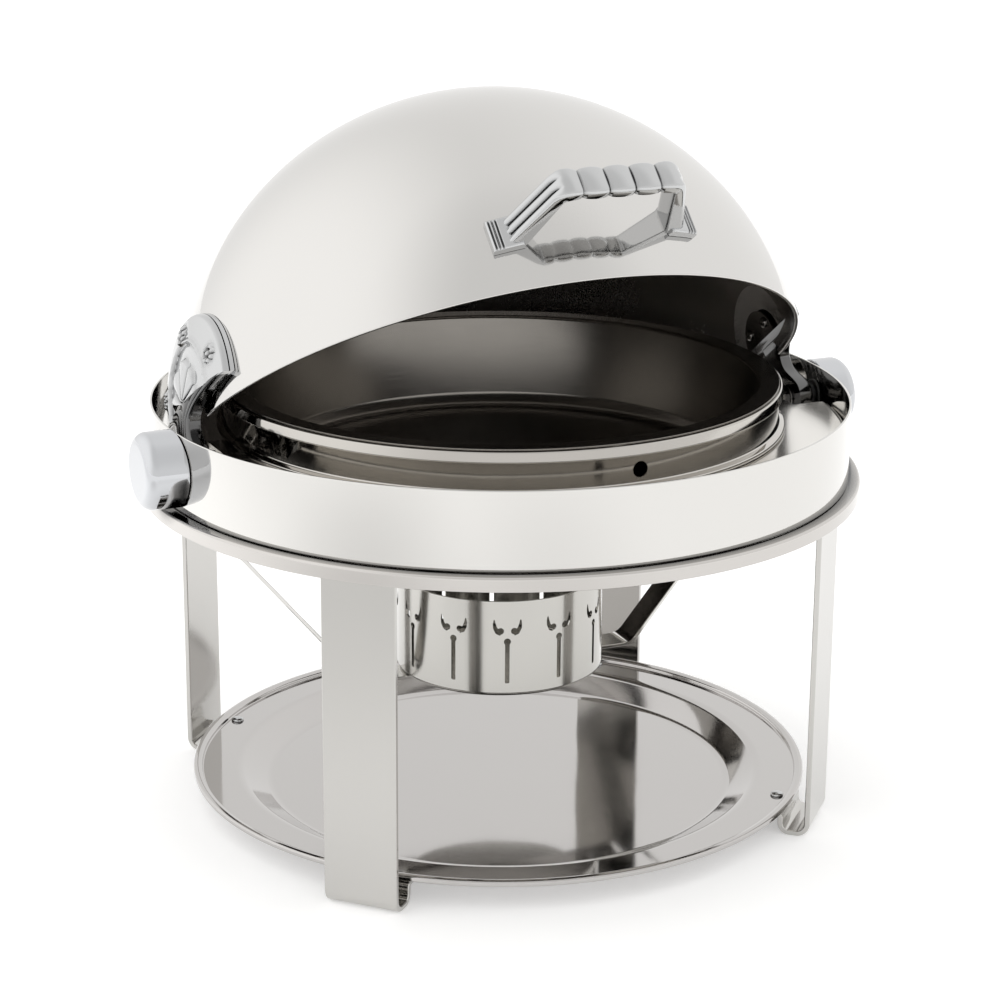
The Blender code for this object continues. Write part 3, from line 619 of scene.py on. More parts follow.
# ---------------------------------------------------------------- stand


def make_ring():
    """A flat hoop with a turned-down edge."""
    r, t = RING_R, RING_SHEET
    outline = rounded([
        (RING_INNER_R, RING_TOP, 0.5 * MM),
        (RING_INNER_R, RING_TOP - t, 0.5 * MM),
        (r - t, RING_TOP - t),
        (r - t, RING_BOTTOM, 0.6 * MM),
        (r, RING_BOTTOM, 0.6 * MM),
        (r, RING_TOP, 1.8 * MM),
    ])
    piece("ring_trim", lathe("ring", outline), "ring_steel", "stand", ["stand_ring"])


def make_legs():
    """Four bent straps, each with two screws up into the ring and one down into its tab."""
    half = LEG_SHEET / 2
    top = RING_TOP - RING_SHEET - GAP - half
    toe = LEG_R - LEG_CURL + half
    tab = TRAY_TAB_TOP - half
    path = bent_path([
        (LEG_R + LEG_TOP_TAB, top),
        (LEG_R - half, top, 2.2 * MM),
        (LEG_R - half, half, LEG_BEND),
        (toe, half, LEG_BEND),
        (toe, tab, 2.9 * MM),
        (LEG_R - LEG_TOE, tab),
    ])
    for place, degrees in LEG_ANGLES.items():
        mesh = strap("leg", path, LEG_SHEET, LEG_WIDTH)
        turn = turn_z(degrees)
        piece(f"leg_strap_{place}", mesh, "leg_steel", "stand", [f"leg_{place}"], turn,
              angle=25)
        head = top - half - GAP
        for i, across in enumerate((-1, 1), start=1):
            spot = turn @ shift(RING_SCREW_R, across * LEG_WIDTH / 4, head) @ UPSIDE_DOWN
            node = f"ring_screw_{place}_{i}"
            screw(node, SMALL_HEAD_R, RING_SCREW_LENGTH, spot)
        spot = turn @ shift(TRAY_SCREW_R, 0, TRAY_FLANGE + GAP)
        screw(f"tray_screw_{place}", TRAY_HEAD_R, TRAY_SCREW_LENGTH, spot, finish="chrome")
        node = f"tray_nut_{place}"
        spot = turn @ shift(TRAY_SCREW_R, 0, low(node).z)
        piece(f"{node}_fine", hexagon(node), "polished_steel", "stand", [node], spot)


def make_tray():
    """A dished floor, a flange and a rolled edge."""
    outline = rounded([
        (0, TRAY_FLOOR),
        (0, TRAY_BOTTOM),
        (TRAY_FLOOR_R, TRAY_BOTTOM, 12 * MM),
        (TRAY_WALL_R, TRAY_FLANGE - TRAY_SHEET, 14 * MM),
        (TRAY_R - 1.5 * MM, TRAY_FLANGE - TRAY_SHEET, 1 * MM),
        (TRAY_R, TRAY_FLANGE, 1 * MM),
        (TRAY_R, TRAY_TOP - 0.4 * MM, 1.6 * MM),
        (TRAY_R - TRAY_BEAD / 2, TRAY_TOP, 2 * MM),
        (TRAY_R - TRAY_BEAD, TRAY_TOP - 1 * MM, 1.6 * MM),
        (TRAY_R - TRAY_BEAD - 0.3 * MM, TRAY_FLANGE, 0.8 * MM),
        (TRAY_WALL_R, TRAY_FLANGE, 14 * MM),
        (TRAY_FLOOR_R, TRAY_FLOOR, 12 * MM),
    ], 8)
    piece("tray_dish", lathe("tray", outline), "tray_steel", "stand", ["drip_tray"])


# ---------------------------------------------------------------- frame


def make_band():
    """The upright hoop."""
    inner = BAND_R - BAND_WALL
    outline = rounded([
        (inner, BAND_TOP, 0.6 * MM),
        (inner, BAND_BOTTOM, 0.4 * MM),
        (BAND_R, BAND_BOTTOM, 1.4 * MM),
        (BAND_R, BAND_TOP, 0.6 * MM),
    ])
    piece("band_hoop", lathe("band", outline), "polished_steel", "stand", ["frame_band"])


def make_support():
    """The crescent under the water pan, cut like its CAD node."""
    outer = BAND_R - BAND_WALL - GAP
    t = SUPPORT_SHEET
    outline = rounded([
        (SUPPORT_INNER_R, SUPPORT_TOP, 0.5 * MM),
        (SUPPORT_INNER_R, SUPPORT_TOP - t, 0.5 * MM),
        (outer - t, SUPPORT_TOP - t),
        (outer - t, SUPPORT_BOTTOM, 0.4 * MM),
        (outer, SUPPORT_BOTTOM, 0.4 * MM),
        (outer, SUPPORT_TOP, 5 * MM),
    ])
    obj = bare("support", lathe("support", outline))
    far = 1.2 * BAND_R
    tongue = high("pan_support").y
    front = SUPPORT_HORN_Y

    def tool(ring):
        return bare("tool", prism("tool", [(x, y, 0) for x, y in ring], (0, 0, 2 * far)))

    combine(obj, tool([(-far, tongue), (far, tongue), (far, far), (-far, far)]))
    corner = SUPPORT_CORNER
    steps = 2 * ARC
    turns = [math.pi / 2 * i / steps for i in range(steps + 1)]
    curve = [(outer - corner * (1 - math.sin(a)), front - corner * (1 - math.cos(a))) for a in turns]
    for sign in SIDES.values():
        ring = [(SUPPORT_HORN_X, far), (SUPPORT_HORN_X, front)] + curve
        ring += [(far, front - corner), (far, far)]
        combine(obj, tool([(sign * x, y) for x, y in ring]))
    piece("support_crescent", obj, "support_steel", "stand", ["pan_support"])


# ---------------------------------------------------------------- pans


def make_water_pan():
    """The outer pan: a bead under its neck, a turned rim and the round vent."""
    t = PAN_SHEET
    rim, wall, foot = WATER_RIM_R, WATER_WALL_R, WATER_FOOT_R
    neck = rim - 3 * MM
    bead_z = WATER_BEAD_Z
    outline = rounded([
        (0, WATER_BOTTOM + t),
        (0, WATER_BOTTOM),
        (foot, WATER_BOTTOM, 9 * MM),
        (wall, bead_z - 1.2 * MM, 0.8 * MM),
        (WATER_BEAD_R, bead_z - 1.2 * MM, 1.1 * MM),
        (WATER_BEAD_R, bead_z + 1.4 * MM, 1.3 * MM),
        (neck, bead_z + 2.8 * MM, 1.5 * MM),
        (neck, WATER_TOP - 7 * MM, 0.6 * MM),
        (rim, WATER_TOP - 7 * MM, 0.9 * MM),
        (rim - 1.2 * MM, WATER_TOP, 1.2 * MM),
        (rim - 4.5 * MM, WATER_TOP, 1.2 * MM),
        (neck - t, WATER_TOP - 6 * MM, 1 * MM),
        (wall - t, bead_z, 4 * MM),
        (foot - t, WATER_BOTTOM + t, 8 * MM),
    ], 8)
    obj = bare("water", lathe("water", outline))
    reach = 6 * MM
    tool = lathe("vent", [(0, -reach), (VENT_R, -reach), (VENT_R, reach), (0, reach)], SMALL)
    spot = turn_z(VENT_ANGLE) @ shift(neck, 0, VENT_Z) @ Matrix.Rotation(math.pi / 2, 4, "Y")
    combine(obj, bare("vent", tool, spot))
    piece("water_pan_shell", obj, "pan_steel", "water_pan", ["water_pan"])


def make_food_pan():
    """The inner pan, hung by its flange on the water pan's rim."""
    t = PAN_SHEET
    wall, foot = FOOD_WALL_R, FOOD_FOOT_R
    shoulder = WATER_TOP + GAP
    outline = rounded([
        (0, FOOD_BOTTOM + t),
        (0, FOOD_BOTTOM),
        (foot - 1 * MM, FOOD_BOTTOM, 10 * MM),
        (foot + 3.2 * MM, FOOD_BOTTOM + 9 * MM, 10 * MM),
        (wall + t, FOOD_TOP - 1.2 * MM, 2 * MM),
        (FOOD_R - 3 * MM, FOOD_TOP - 1.2 * MM),
        (FOOD_R - 3 * MM, shoulder),
        (FOOD_R, shoulder, 0.3 * MM),
        (FOOD_R, FOOD_TOP, 0.3 * MM),
        (wall, FOOD_TOP, 3 * MM),
        (foot + 2.4 * MM, FOOD_BOTTOM + 9 * MM, 10 * MM),
        (foot - 1.8 * MM, FOOD_BOTTOM + t, 9 * MM),
    ], 8)
    piece("food_pan_shell", lathe("food", outline), "satin_steel", "food_pan", ["food_pan"])


# ---------------------------------------------------------------- burner


def circle(a, b, radius, count=20):
    spots = [math.tau * i / count for i in range(count)]
    return [(a + radius * math.cos(s), b + radius * math.sin(s)) for s in spots]


def curl(across):
    """The outlines that together make one curled slot, a tapering stroke mirrored by the sign."""
    spine = [
        (4.2 * MM, 134.2 * MM, 1.5 * MM),
        (6.6 * MM, 135.4 * MM, 1.7 * MM),
        (8.2 * MM, 138 * MM, 1.4 * MM),
        (8.8 * MM, 141 * MM, 1.0 * MM),
        (8.9 * MM, 144 * MM, 0.35 * MM),
    ]
    shapes = [circle(across * 4.6 * MM, 136 * MM, 2.3 * MM)]
    for (a0, b0, r0), (a1, b1, r1) in zip(spine, spine[1:]):
        one, two = Vector((a0, b0)), Vector((a1, b1))
        side = (two - one).normalized().orthogonal()
        hull = [one + side * r0, two + side * r1, two - side * r1, one - side * r0]
        shapes.append([(across * p.x, p.y) for p in hull])
    for a, b, r in spine[1:-1]:
        shapes.append(circle(across * a, b, r, 14))
    return shapes


def make_holder():
    """The cup, with its ring of keyholes and curled slots cut through the wall."""
    t = HOLDER_SHEET
    outline = rounded([
        (0, HOLDER_BOTTOM + t),
        (0, HOLDER_BOTTOM),
        (HOLDER_R, HOLDER_BOTTOM, 3 * MM),
        (HOLDER_R, HOLDER_TOP, 0.5 * MM),
        (HOLDER_R - t, HOLDER_TOP, 0.5 * MM),
        (HOLDER_R - t, HOLDER_BOTTOM + t, 2 * MM),
    ])
    obj = bare("holder", lathe("holder", outline, 240))
    slot = rounded([
        (-SLOT_HALF, SLOT_LOW, 0.8 * MM),
        (SLOT_HALF, SLOT_LOW, 0.8 * MM),
        (SLOT_HALF, SLOT_HIGH),
        (-SLOT_HALF, SLOT_HIGH),
    ], 4)
    shapes = [slot, circle(0, SLOT_HIGH + 0.5 * MM, 2.4 * MM)] + curl(-1) + curl(1)
    tools = []
    for i in range(HOLDER_CUTS):
        turn = turn_z(HOLDER_FIRST_CUT + 360 / HOLDER_CUTS * i)
        for shape in shapes:
            ring = [(HOLDER_R - 4 * MM, a, b) for a, b in shape]
            tools.append(bare("cut", prism("cut", ring, (8 * MM, 0, 0)), turn))
    holder_cut(obj, tools)
    piece("holder_cup", obj, "holder_steel", "stand", ["burner_holder"])


def holder_cut(obj, tools):
    """Cuts all the slots at once, from one collection of cutters."""
    group = bpy.data.collections.new("holder_cuts")
    bpy.context.scene.collection.children.link(group)
    for tool in tools:
        group.objects.link(tool)
    modifier = obj.modifiers.new("slots", "BOOLEAN")
    modifier.operand_type = "COLLECTION"
    modifier.operation = "DIFFERENCE"
    modifier.solver = "EXACT"
    modifier.collection = group
    apply_modifiers(obj)
    for tool in tools:
        bpy.data.objects.remove(tool)
    bpy.data.collections.remove(group)


def make_bracket():
    """The strap that hangs from the support, with its screws and the bolt and nut of the holder."""
    half = BRACKET_SHEET / 2
    y = (BRACKET_LOW.y + BRACKET_HIGH.y) / 2
    flat = BRACKET_LOW.z + half
    tab = BRACKET_HIGH.z - half
    side = BRACKET_SIDE_X + half
    right = [
        (BRACKET_HIGH.x, tab),
        (side, tab, BRACKET_SHEET),
        (side, 190 * MM, 10 * MM),
        (102 * MM, flat, 14 * MM),
    ]
    left = [(-c[0], *c[1:]) for c in reversed(right)]
    mesh = strap("bracket", bent_path(right + left), BRACKET_SHEET, BRACKET_HIGH.y - BRACKET_LOW.y)
    piece("bracket_strap", mesh, "polished_steel", "stand", ["burner_bracket"], shift(0, y, 0), angle=25)
    for side_name, sign in SIDES.items():
        spot = shift(sign * BRACKET_SCREW_X, y, tab - half - GAP) @ UPSIDE_DOWN
        screw(f"bracket_screw_{side_name}", BRACKET_HEAD_R, BRACKET_SCREW_LENGTH, spot)
    spot = shift(0, y, HOLDER_BOTTOM + HOLDER_SHEET + GAP)
    screw("burner_bolt", BURNER_HEAD_R, BURNER_BOLT_LENGTH, spot)
    spot = shift(0, y, low("burner_nut").z)
    piece("burner_nut_fine", hexagon("nut"), "polished_steel", "stand", ["burner_nut"], spot)


# ---------------------------------------------------------------- lid


def dome_x(y, z, radius):
    """How far out a sphere about the dome's centre lies, in the lid's frame."""
    dy, dz = y - DOME_CENTRE.y, z - DOME_CENTRE.z
    return math.sqrt(radius * radius - dy * dy - dz * dz)


def ball_normals(mesh, centre, radii):
    """True sphere normals on the shell's two faces, so that its reflections run without facets."""
    smooth(mesh)
    normals = []
    for face in mesh.polygons:
        for index in face.vertices:
            point = mesh.vertices[index].co - centre
            on_ball = any(abs(point.length - r) < 0.02 * MM for r in radii)
            outward = point.normalized()
            if on_ball and abs(face.normal.dot(outward)) > 0.98:
                normals.append(outward if face.normal.dot(outward) > 0 else -outward)
            else:
                normals.append(Vector((0, 0, 0)))
    mesh.normals_split_custom_set(normals)


def make_dome():
    """The shell with its turned hem and a notch over each pivot."""
    inner = DOME_R - DOME_SHEET
    rim = DOME_RIM_Z - DOME_CENTRE.z
    start = math.asin((rim + HEM_HEIGHT) / DOME_R)
    rings = 96
    angles = [start + (math.pi / 2 - start) * i / rings for i in range(rings)]
    outside = [(DOME_R * math.cos(a), DOME_R * math.sin(a)) for a in angles]
    inside = [(inner * math.cos(a), inner * math.sin(a)) for a in angles]
    edge = math.sqrt(DOME_R**2 - rim**2)
    hem = rounded([
        (inside[0][0] - 0.2 * MM, rim + HEM_HEIGHT),
        (inner - 1.5 * MM, rim + 3.6 * MM, 1 * MM),
        (inner - 1.6 * MM, rim, 1.2 * MM),
        (edge, rim, 0.8 * MM),
        (edge, rim + 3 * MM),
    ], 5)
    outline = hem + outside + [(0, DOME_R), (0, inner)] + inside[::-1]
    obj = bare("dome", lathe("dome", outline, 320))
    for sign in SIDES.values():
        half, top, cut = NOTCH_HALF, NOTCH_TOP - DOME_CENTRE.z, NOTCH_CHAMFER
        near = sign * 180 * MM
        back = -DOME_CENTRE.y
        below = -50 * MM
        outline = [
            (-half, below),
            (half, below),
            (half, top - cut),
            (half - cut, top),
            (cut - half, top),
            (-half, top - cut),
        ]
        tool = prism("notch", [(near, back + a, b) for a, b in outline], (sign * 60 * MM, 0, 0))
        combine(obj, bare("notch", tool))
    obj.data.transform(LID @ Matrix.Translation(DOME_CENTRE))
    ball_normals(obj.data, LID @ DOME_CENTRE, (DOME_R, inner))
    piece("dome_shell", obj, "lid_steel", "lid", ["lid_dome"], weigh=False)


def bead_bump(u, w, cu, cw, radius, height):
    gap = math.hypot(u - cu, w - cw) / radius
    return height * math.sqrt(1 - gap * gap) if gap < 1 else 0


def oval(angle, half_width, half_height):
    """Distance from the middle to an ellipse at that angle."""
    return 1 / math.hypot(math.cos(angle) / half_width, math.sin(angle) / half_height)


def ornament(reach, angle):
    """Relief of the cast half disc over its flat face, by distance from the middle and angle."""
    u, w = reach * math.cos(angle), reach * math.sin(angle)
    height = 0
    edge = PLATE_R - reach
    if edge < PLATE_EDGE:
        fall = 1 - edge / PLATE_EDGE
        height -= PLATE_EDGE * (1 - math.sqrt(max(0, 1 - fall * fall)))
    arch = oval(angle, ARCH_HALF, ARCH_HEIGHT)
    ridge = abs(reach - arch)
    if ridge < ARCH_RIDGE:
        height += ARCH_DEPTH * math.cos(ridge / ARCH_RIDGE * math.pi / 2)
    if reach < arch:
        height -= ARCH_DEPTH * min(1, (arch - reach) / (2 * MM))
    pleat = abs(math.sin(FAN_PLEATS / 2 * angle))
    leaf = oval(angle, FAN_HALF, FAN_HEIGHT) * (0.9 + 0.1 * pleat)
    if reach < leaf:
        fade = min(1, reach / (4 * MM)) * min(1, (leaf - reach) / (1.5 * MM))
        height += fade * (0.3 * MM + 2.6 * MM * pleat**0.6)
    for degrees in ROSETTES:
        height += rosette(u, w, math.radians(degrees))
    return height


def rosette(u, w, turn):
    """A ring of round beads about a larger one."""
    cu, cw = ROSETTE_REACH * math.cos(turn), ROSETTE_REACH * math.sin(turn)
    best = bead_bump(u, w, cu, cw, 2.1 * MM, 2.5 * MM)
    for k in range(ROSETTE_BEADS):
        b = math.tau * k / ROSETTE_BEADS
        bu, bw = cu + ROSETTE_RING * math.cos(b), cw + ROSETTE_RING * math.sin(b)
        best = max(best, bead_bump(u, w, bu, bw, 1.75 * MM, 2.3 * MM))
    return best


def plate_point(sign, reach, angle, shell):
    """A point over the plate's straight edge, on a sphere of that radius about the dome's centre."""
    y, z = reach * math.cos(angle), PLATE_Z + reach * math.sin(angle)
    return (sign * dome_x(y, z, shell), y, z)


def make_hinge_plate(side, sign):
    """The cast plate, its edge in two layers with a groove between, with its fan and rosettes."""
    face_r = DOME_R + PLATE_THICK - 1.8 * MM
    back_r = DOME_R + 0.4 * MM
    groove = 1.2 * MM
    walls = [
        (DOME_R + 3.8 * MM, 0),
        (DOME_R + 3.6 * MM, groove),
        (DOME_R + 3.2 * MM, groove),
        (DOME_R + 3.0 * MM, 0),
        (back_r, 0),
    ]
    spans, reaches = 150, 78
    rings = []
    for i in range(spans + 1):
        angle = math.pi * i / spans
        row = []
        for k in range(reaches + 1):
            reach = PLATE_R * (k / reaches)
            row.append(plate_point(sign, reach, angle, face_r + ornament(reach, angle)))
        for shell, inset in walls:
            row.append(plate_point(sign, PLATE_R - inset, angle, shell))
        row.append((sign * dome_x(0, PLATE_Z, back_r), 0, PLATE_Z))
        rings.append(row)
    count = len(rings[0])
    verts = [point for row in rings for point in row]
    faces = []
    for i in range(spans):
        for k in range(count - 1):
            a, b = i * count + k, (i + 1) * count + k
            faces.append((a, a + 1, b + 1, b))
    first = list(range(count))
    last = [spans * count + k for k in range(count)]
    faces.append(tuple(first[::-1] + last[1:-1]))
    plate = mesh_from("plate", verts, faces)
    plate.transform(LID)
    name = f"hinge_plate_{side}"
    piece(f"{name}_ornament", plate, "chrome", "lid", [name], angle=50)


def eased(t):
    """Goes from 0 to 1 with a soft start and end."""
    t = min(1, max(0, t))
    return t * t * (3 - 2 * t)


def make_arm(side, sign):
    """The plate's tail: it sweeps from the front corner to a narrow waist and on to the pivot hub, with
    rounded ribs along its face."""
    spans, steps = 48, 44
    top = PLATE_Z + 0.6 * MM
    rings = []
    for i in range(steps + 1):
        z = top - (top + HUB_R) * i / steps
        up = max(0, z / top)
        half = HUB_R + (ARM_WAIST - HUB_R) * eased(2 * up)
        if z <= 0:
            half = max(math.sqrt(max(0, HUB_R**2 - z * z)), 0.4 * MM)
        on_dome = eased(up)
        front = ARM_BACKWARD * on_dome - half
        rear = ARM_BACKWARD * on_dome + half
        front += (1.5 * MM - PLATE_R - front) * up**ARM_SWEEP
        rear += (PLATE_R - 1.5 * MM - rear) * up ** (2 * ARM_SWEEP)
        ring = []
        for k in range(spans + 1):
            t = -1 + 2 * k / spans
            y = (front + rear) / 2 + t * (rear - front) / 2
            rib = ARM_RIB * abs(math.cos(2.5 * math.pi * t)) ** 0.8 if z > -HUB_R * 0.4 else 0
            drop = 3 * MM * t**6
            face = ARM_OUT_X - 2 * MM - drop
            cast = dome_x(y, z, DOME_R + PLATE_THICK - 2.4 * MM)
            ring.append((sign * (face + (cast - face) * on_dome + rib), y, z))
        for y in (rear, front):
            back = ARM_IN_X + (dome_x(y, z, DOME_R + 0.8 * MM) - ARM_IN_X) * on_dome
            ring.append((sign * back, y, z))
        rings.append(ring)
    arm = loft("arm", rings)
    arm.transform(LID)
    # painted shade: the arm takes the darker copy of the plate's chrome
    piece(f"hinge_arm_{side}", arm, "arm_chrome_painted_shade", "lid", [], angle=50)


def washer(outer_r, bore, bore_edge=0):
    outline = rounded([
        (bore, 0, bore_edge),
        (outer_r, 0, 0.3 * MM),
        (outer_r, WASHER_THICK, 0.3 * MM),
        (bore, WASHER_THICK, bore_edge),
    ])
    return lathe("washer", outline, SMALL)


def make_pivot(side, sign):
    """What stands still at one side: pin, washer, nut and bush."""
    axle = Matrix.Translation(PIVOT)
    node = f"pivot_pin_{side}"
    length = high(node).x - low(node).x
    inner = min(abs(low(node).x), abs(high(node).x))
    pin = lathe("pin", rounded([(0, 0), (PIN_R, 0, 0.8 * MM), (PIN_R, length), (0, length)]), SMALL)
    piece(f"{node}_fine", pin, "polished_steel", "stand", [node], axle @ along_x(inner, sign))
    washer_x = ARM_IN_X - WASHER_THICK - GAP
    # the washer and the nut take the dark steel that is painted shade
    node = f"pivot_washer_{side}"
    piece(f"{node}_fine", washer(PIVOT_NUT_R, PIN_BORE, 0.2 * MM), "painted_shade_steel", "stand", [node],
          axle @ along_x(washer_x, sign))
    node = f"pivot_nut_{side}"
    nut = hexagon("nut", PIVOT_NUT_R, PIVOT_NUT_HEIGHT, PIN_BORE)
    piece(f"{node}_fine", nut, "painted_shade_steel", "stand", [node],
          axle @ along_x(washer_x - PIVOT_NUT_HEIGHT - GAP, sign))
    flange, sleeve_r, flange_r = 1.6 * MM, 8 * MM, 11.2 * MM
    bush = lathe("bush", rounded([
        (PIN_BORE, 0, 0.2 * MM),
        (PIN_BORE, BUSH_LENGTH),
        (sleeve_r, BUSH_LENGTH),
        (sleeve_r, flange),
        (flange_r, flange, 0.3 * MM),
        (flange_r, 0, 0.4 * MM),
    ]), SMALL)
    node = f"pivot_bush_{side}"
    piece(f"{node}_fine", bush, "nylon", "stand", [node], axle @ along_x(BUSH_X, sign))


def make_knob(side, sign):
    """A thick cap with a soft edge; its back is hollowed to follow the band."""
    flat = KNOB_R - KNOB_EDGE
    steps = 14
    section = [(0, KNOB_OUT), (0.5 * flat, KNOB_OUT)]
    for i in range(steps + 1):
        a = math.pi / 2 * i / steps
        section.append((flat + KNOB_EDGE * math.sin(a), KNOB_OUT - KNOB_EDGE * (1 - math.cos(a))))
    chamfer = 0.5 * MM
    back = [(KNOB_R, chamfer), (KNOB_R - chamfer, 0), (0.5 * KNOB_R, 0), (0, 0)]
    verts, faces = [], []
    for i in range(MEDIUM):
        angle = math.tau * i / MEDIUM
        c, s = math.cos(angle), math.sin(angle)
        for r, x in section:
            verts.append((sign * x, PIVOT.y + r * c, PIVOT.z + r * s))
        for r, ease in back:
            x = math.sqrt((BAND_R + KNOB_GAP) ** 2 - (PIVOT.y + r * c) ** 2) + ease
            verts.append((sign * x, PIVOT.y + r * c, PIVOT.z + r * s))
    count = len(section) + len(back)
    for i in range(MEDIUM):
        one, two = i * count, ((i + 1) % MEDIUM) * count
        for k in range(count - 1):
            faces.append((one + k, two + k, two + k + 1, one + k + 1))
    node = f"pivot_knob_{side}"
    piece(f"{node}_cap", mesh_from("knob", verts, faces), "knob_chrome", "stand", [node])


def make_back_plate(side, sign):
    """The inner plate that follows the shell, with its two domed screws."""
    radius = BACK_PLATE_R
    outer = DOME_R - DOME_SHEET - 1.7 * MM
    inner = outer - 1.4 * MM
    spans = 40
    verts, faces = [], []
    for shell in (outer, inner):
        verts.append((sign * dome_x(0, PLATE_Z, shell), 0, PLATE_Z))
        for k in (0.5, 1):
            for i in range(spans + 1):
                a = math.pi * i / spans
                y, z = radius * k * math.cos(a), PLATE_Z + radius * k * math.sin(a)
                verts.append((sign * dome_x(y, z, shell), y, z))
    layer = 1 + 2 * (spans + 1)
    for base in (0, layer):
        for i in range(spans):
            faces.append((base, base + 1 + i, base + 2 + i))
            faces.append((base + 1 + i, base + spans + 2 + i, base + spans + 3 + i, base + 2 + i))
    rim = [0, 1] + [spans + 2 + i for i in range(spans + 1)] + [spans + 1]
    for a, b in zip(rim, rim[1:] + rim[:1]):
        faces.append((a, b, layer + b, layer + a))
    mesh = mesh_from("back", verts, faces)
    mesh.transform(LID)
    node = f"hinge_back_plate_{side}"
    # the back plate and its screws take the dark steel that is painted shade
    piece(f"{node}_fine", mesh, "painted_shade_steel", "lid", [node])
    for i, across in enumerate((-1, 1), start=1):
        y, z = across * BACK_SCREW_Y, BACK_SCREW_Z
        x = dome_x(y, z, inner) - 0.2 * MM
        place = LID @ shift(sign * x, y, z) @ Matrix.Rotation(-sign * math.pi / 2, 4, "Y")
        screw(f"hinge_screw_{side}_{i}", SMALL_HEAD_R, HINGE_SCREW_LENGTH, place, "lid", "painted_shade_steel")


# ---------------------------------------------------------------- handle


def handle_frame():
    """Origin at the dome's centre, X to the right, Z straight out through the grip's middle."""
    outward = Vector((0, -math.cos(HANDLE_RISE), math.sin(HANDLE_RISE)))
    up = Vector((0, math.sin(HANDLE_RISE), math.cos(HANDLE_RISE)))
    turn = Matrix((Vector((1, 0, 0)), up, outward)).transposed().to_4x4()
    return LID @ Matrix.Translation(DOME_CENTRE) @ turn


def lobe(along):
    """0 in the creases between the grip's lobes, 1 on their tops."""
    t = (along / LOBE_PITCH + 0.5) % 1
    return math.sqrt(max(0, 1 - (2 * t - 1) ** 2))


def make_handle():
    """One casting: ribbed arms and a grip with round lobes, lofted along its centre line."""
    foot_x = DOME_R * math.sin(ARM_AZIMUTH)
    foot_z = DOME_R * math.cos(ARM_AZIMUTH) + 2 * MM
    grip_z = DOME_R + HANDLE_LIFT
    left = [(-foot_x, foot_z), (-GRIP_HALF, grip_z, HANDLE_BEND)]
    right = [(-c[0], *c[1:]) for c in reversed(left)]
    path = bent_path(left + right, 2 * ARC)
    dense = [path[0]]
    for a, b in zip(path, path[1:]):
        stretches = max(1, int((b - a).length / (0.5 * MM)))
        dense += [a.lerp(b, i / stretches) for i in range(1, stretches + 1)]
    half_width, swell = 8 * MM, 2.2 * MM
    half_thick, thicken = 3 * MM, 2.2 * MM
    lobe_rise, rib_rise = 3.2 * MM, 2.2 * MM
    tops, bottoms = 36, 12
    over = [-1 + 2 * i / tops for i in range(tops + 1)]
    under = [1 - 2 * i / bottoms for i in range(bottoms + 1)]
    rings = []
    for i, point in enumerate(dense):
        tangent = (dense[min(i + 1, len(dense) - 1)] - dense[max(i - 1, 0)]).normalized()
        normal = Vector((-tangent.y, tangent.x))
        gripness = min(1, max(0, (GRIP_HALF + 1 * MM - abs(point.x)) / (3 * MM)))
        bump = lobe(point.x) * gripness
        half_w = half_width + swell * bump + 1.6 * MM * (1 - gripness)
        down = min(1, max(0, (grip_z - point.y) / (grip_z - foot_z)))
        half_t = half_thick + thicken * down
        ring = []
        for s in over:
            ribs = rib_rise * abs(math.cos(1.5 * math.pi * s)) ** 0.6 * (1 - gripness)
            rise = lobe_rise * bump * (1 - 0.5 * s * s)
            t = half_t - 1.6 * MM * abs(s) ** 10 + ribs + rise
            ring.append((point.x + normal.x * t, half_w * s, point.y + normal.y * t))
        for s in under:
            t = -half_t + 1.2 * MM * abs(s) ** 10 - 1.2 * MM * bump * (1 - s * s)
            ring.append((point.x + normal.x * t, half_w * s, point.y + normal.y * t))
        rings.append(ring)
    place = handle_frame()
    mesh = loft("grip", rings)
    mesh.transform(place)
    piece("handle_grip", mesh, "chrome", "lid", ["lid_handle"], angle=50)
    for side, sign in SIDES.items():
        make_handle_foot(side, sign, place)


def make_handle_foot(side, sign, place):
    """A pad on the dome with three grooves across it, and its screw and washer inside the shell."""
    base = DOME_R + GAP
    section = [(-1, 0), (-1, 0.8), (-0.93, 0.95), (-0.85, 1), (0.85, 1), (0.93, 0.95), (1, 0.8), (1, 0)]
    columns = 60
    rings = []
    for i in range(columns + 1):
        s = -1 + 2 * i / columns
        x = s * FOOT_LENGTH / 2
        groove = 0.9 * MM * abs(math.sin(4.5 * math.pi * s)) ** 3 if 0.2 < sign * s < 0.9 else 0
        ease = 1.6 * MM * max(0, (abs(s) - 0.85) / 0.15) ** 2
        top = base + FOOT_THICK - groove - ease
        ring = []
        for across, rise in section:
            y = across * FOOT_WIDTH / 2
            drop = (x * x + y * y) / (2 * DOME_R)
            ring.append((x, y, (base - drop) + (top - base + drop) * rise))
        rings.append(ring)
    out = place @ Matrix.Rotation(sign * HANDLE_AZIMUTH, 4, "Y")
    mesh = loft("foot", rings)
    mesh.transform(out)
    piece(f"handle_foot_{side}", mesh, "chrome", "lid", [], angle=40)
    inside = out @ shift(0, 0, DOME_R - DOME_SHEET - WASHER_THICK - GAP) @ UPSIDE_DOWN
    node = f"handle_washer_{side}"
    piece(f"{node}_fine", washer(HANDLE_WASHER_R, NUT_BORE), "polished_steel", "lid", [node], inside)
    spot = inside @ shift(0, 0, WASHER_THICK + GAP)
    screw(f"handle_screw_{side}", SMALL_HEAD_R, HANDLE_SCREW_LENGTH, spot, "lid")


# ---------------------------------------------------------------- studio


def heading(azimuth, elevation):
    """Unit vector: azimuth 0 is the front (-Y), 90 the right (+X)."""
    a, e = math.radians(azimuth), math.radians(elevation)
    return Vector((math.sin(a) * math.cos(e), -math.cos(a) * math.cos(e), math.sin(e)))


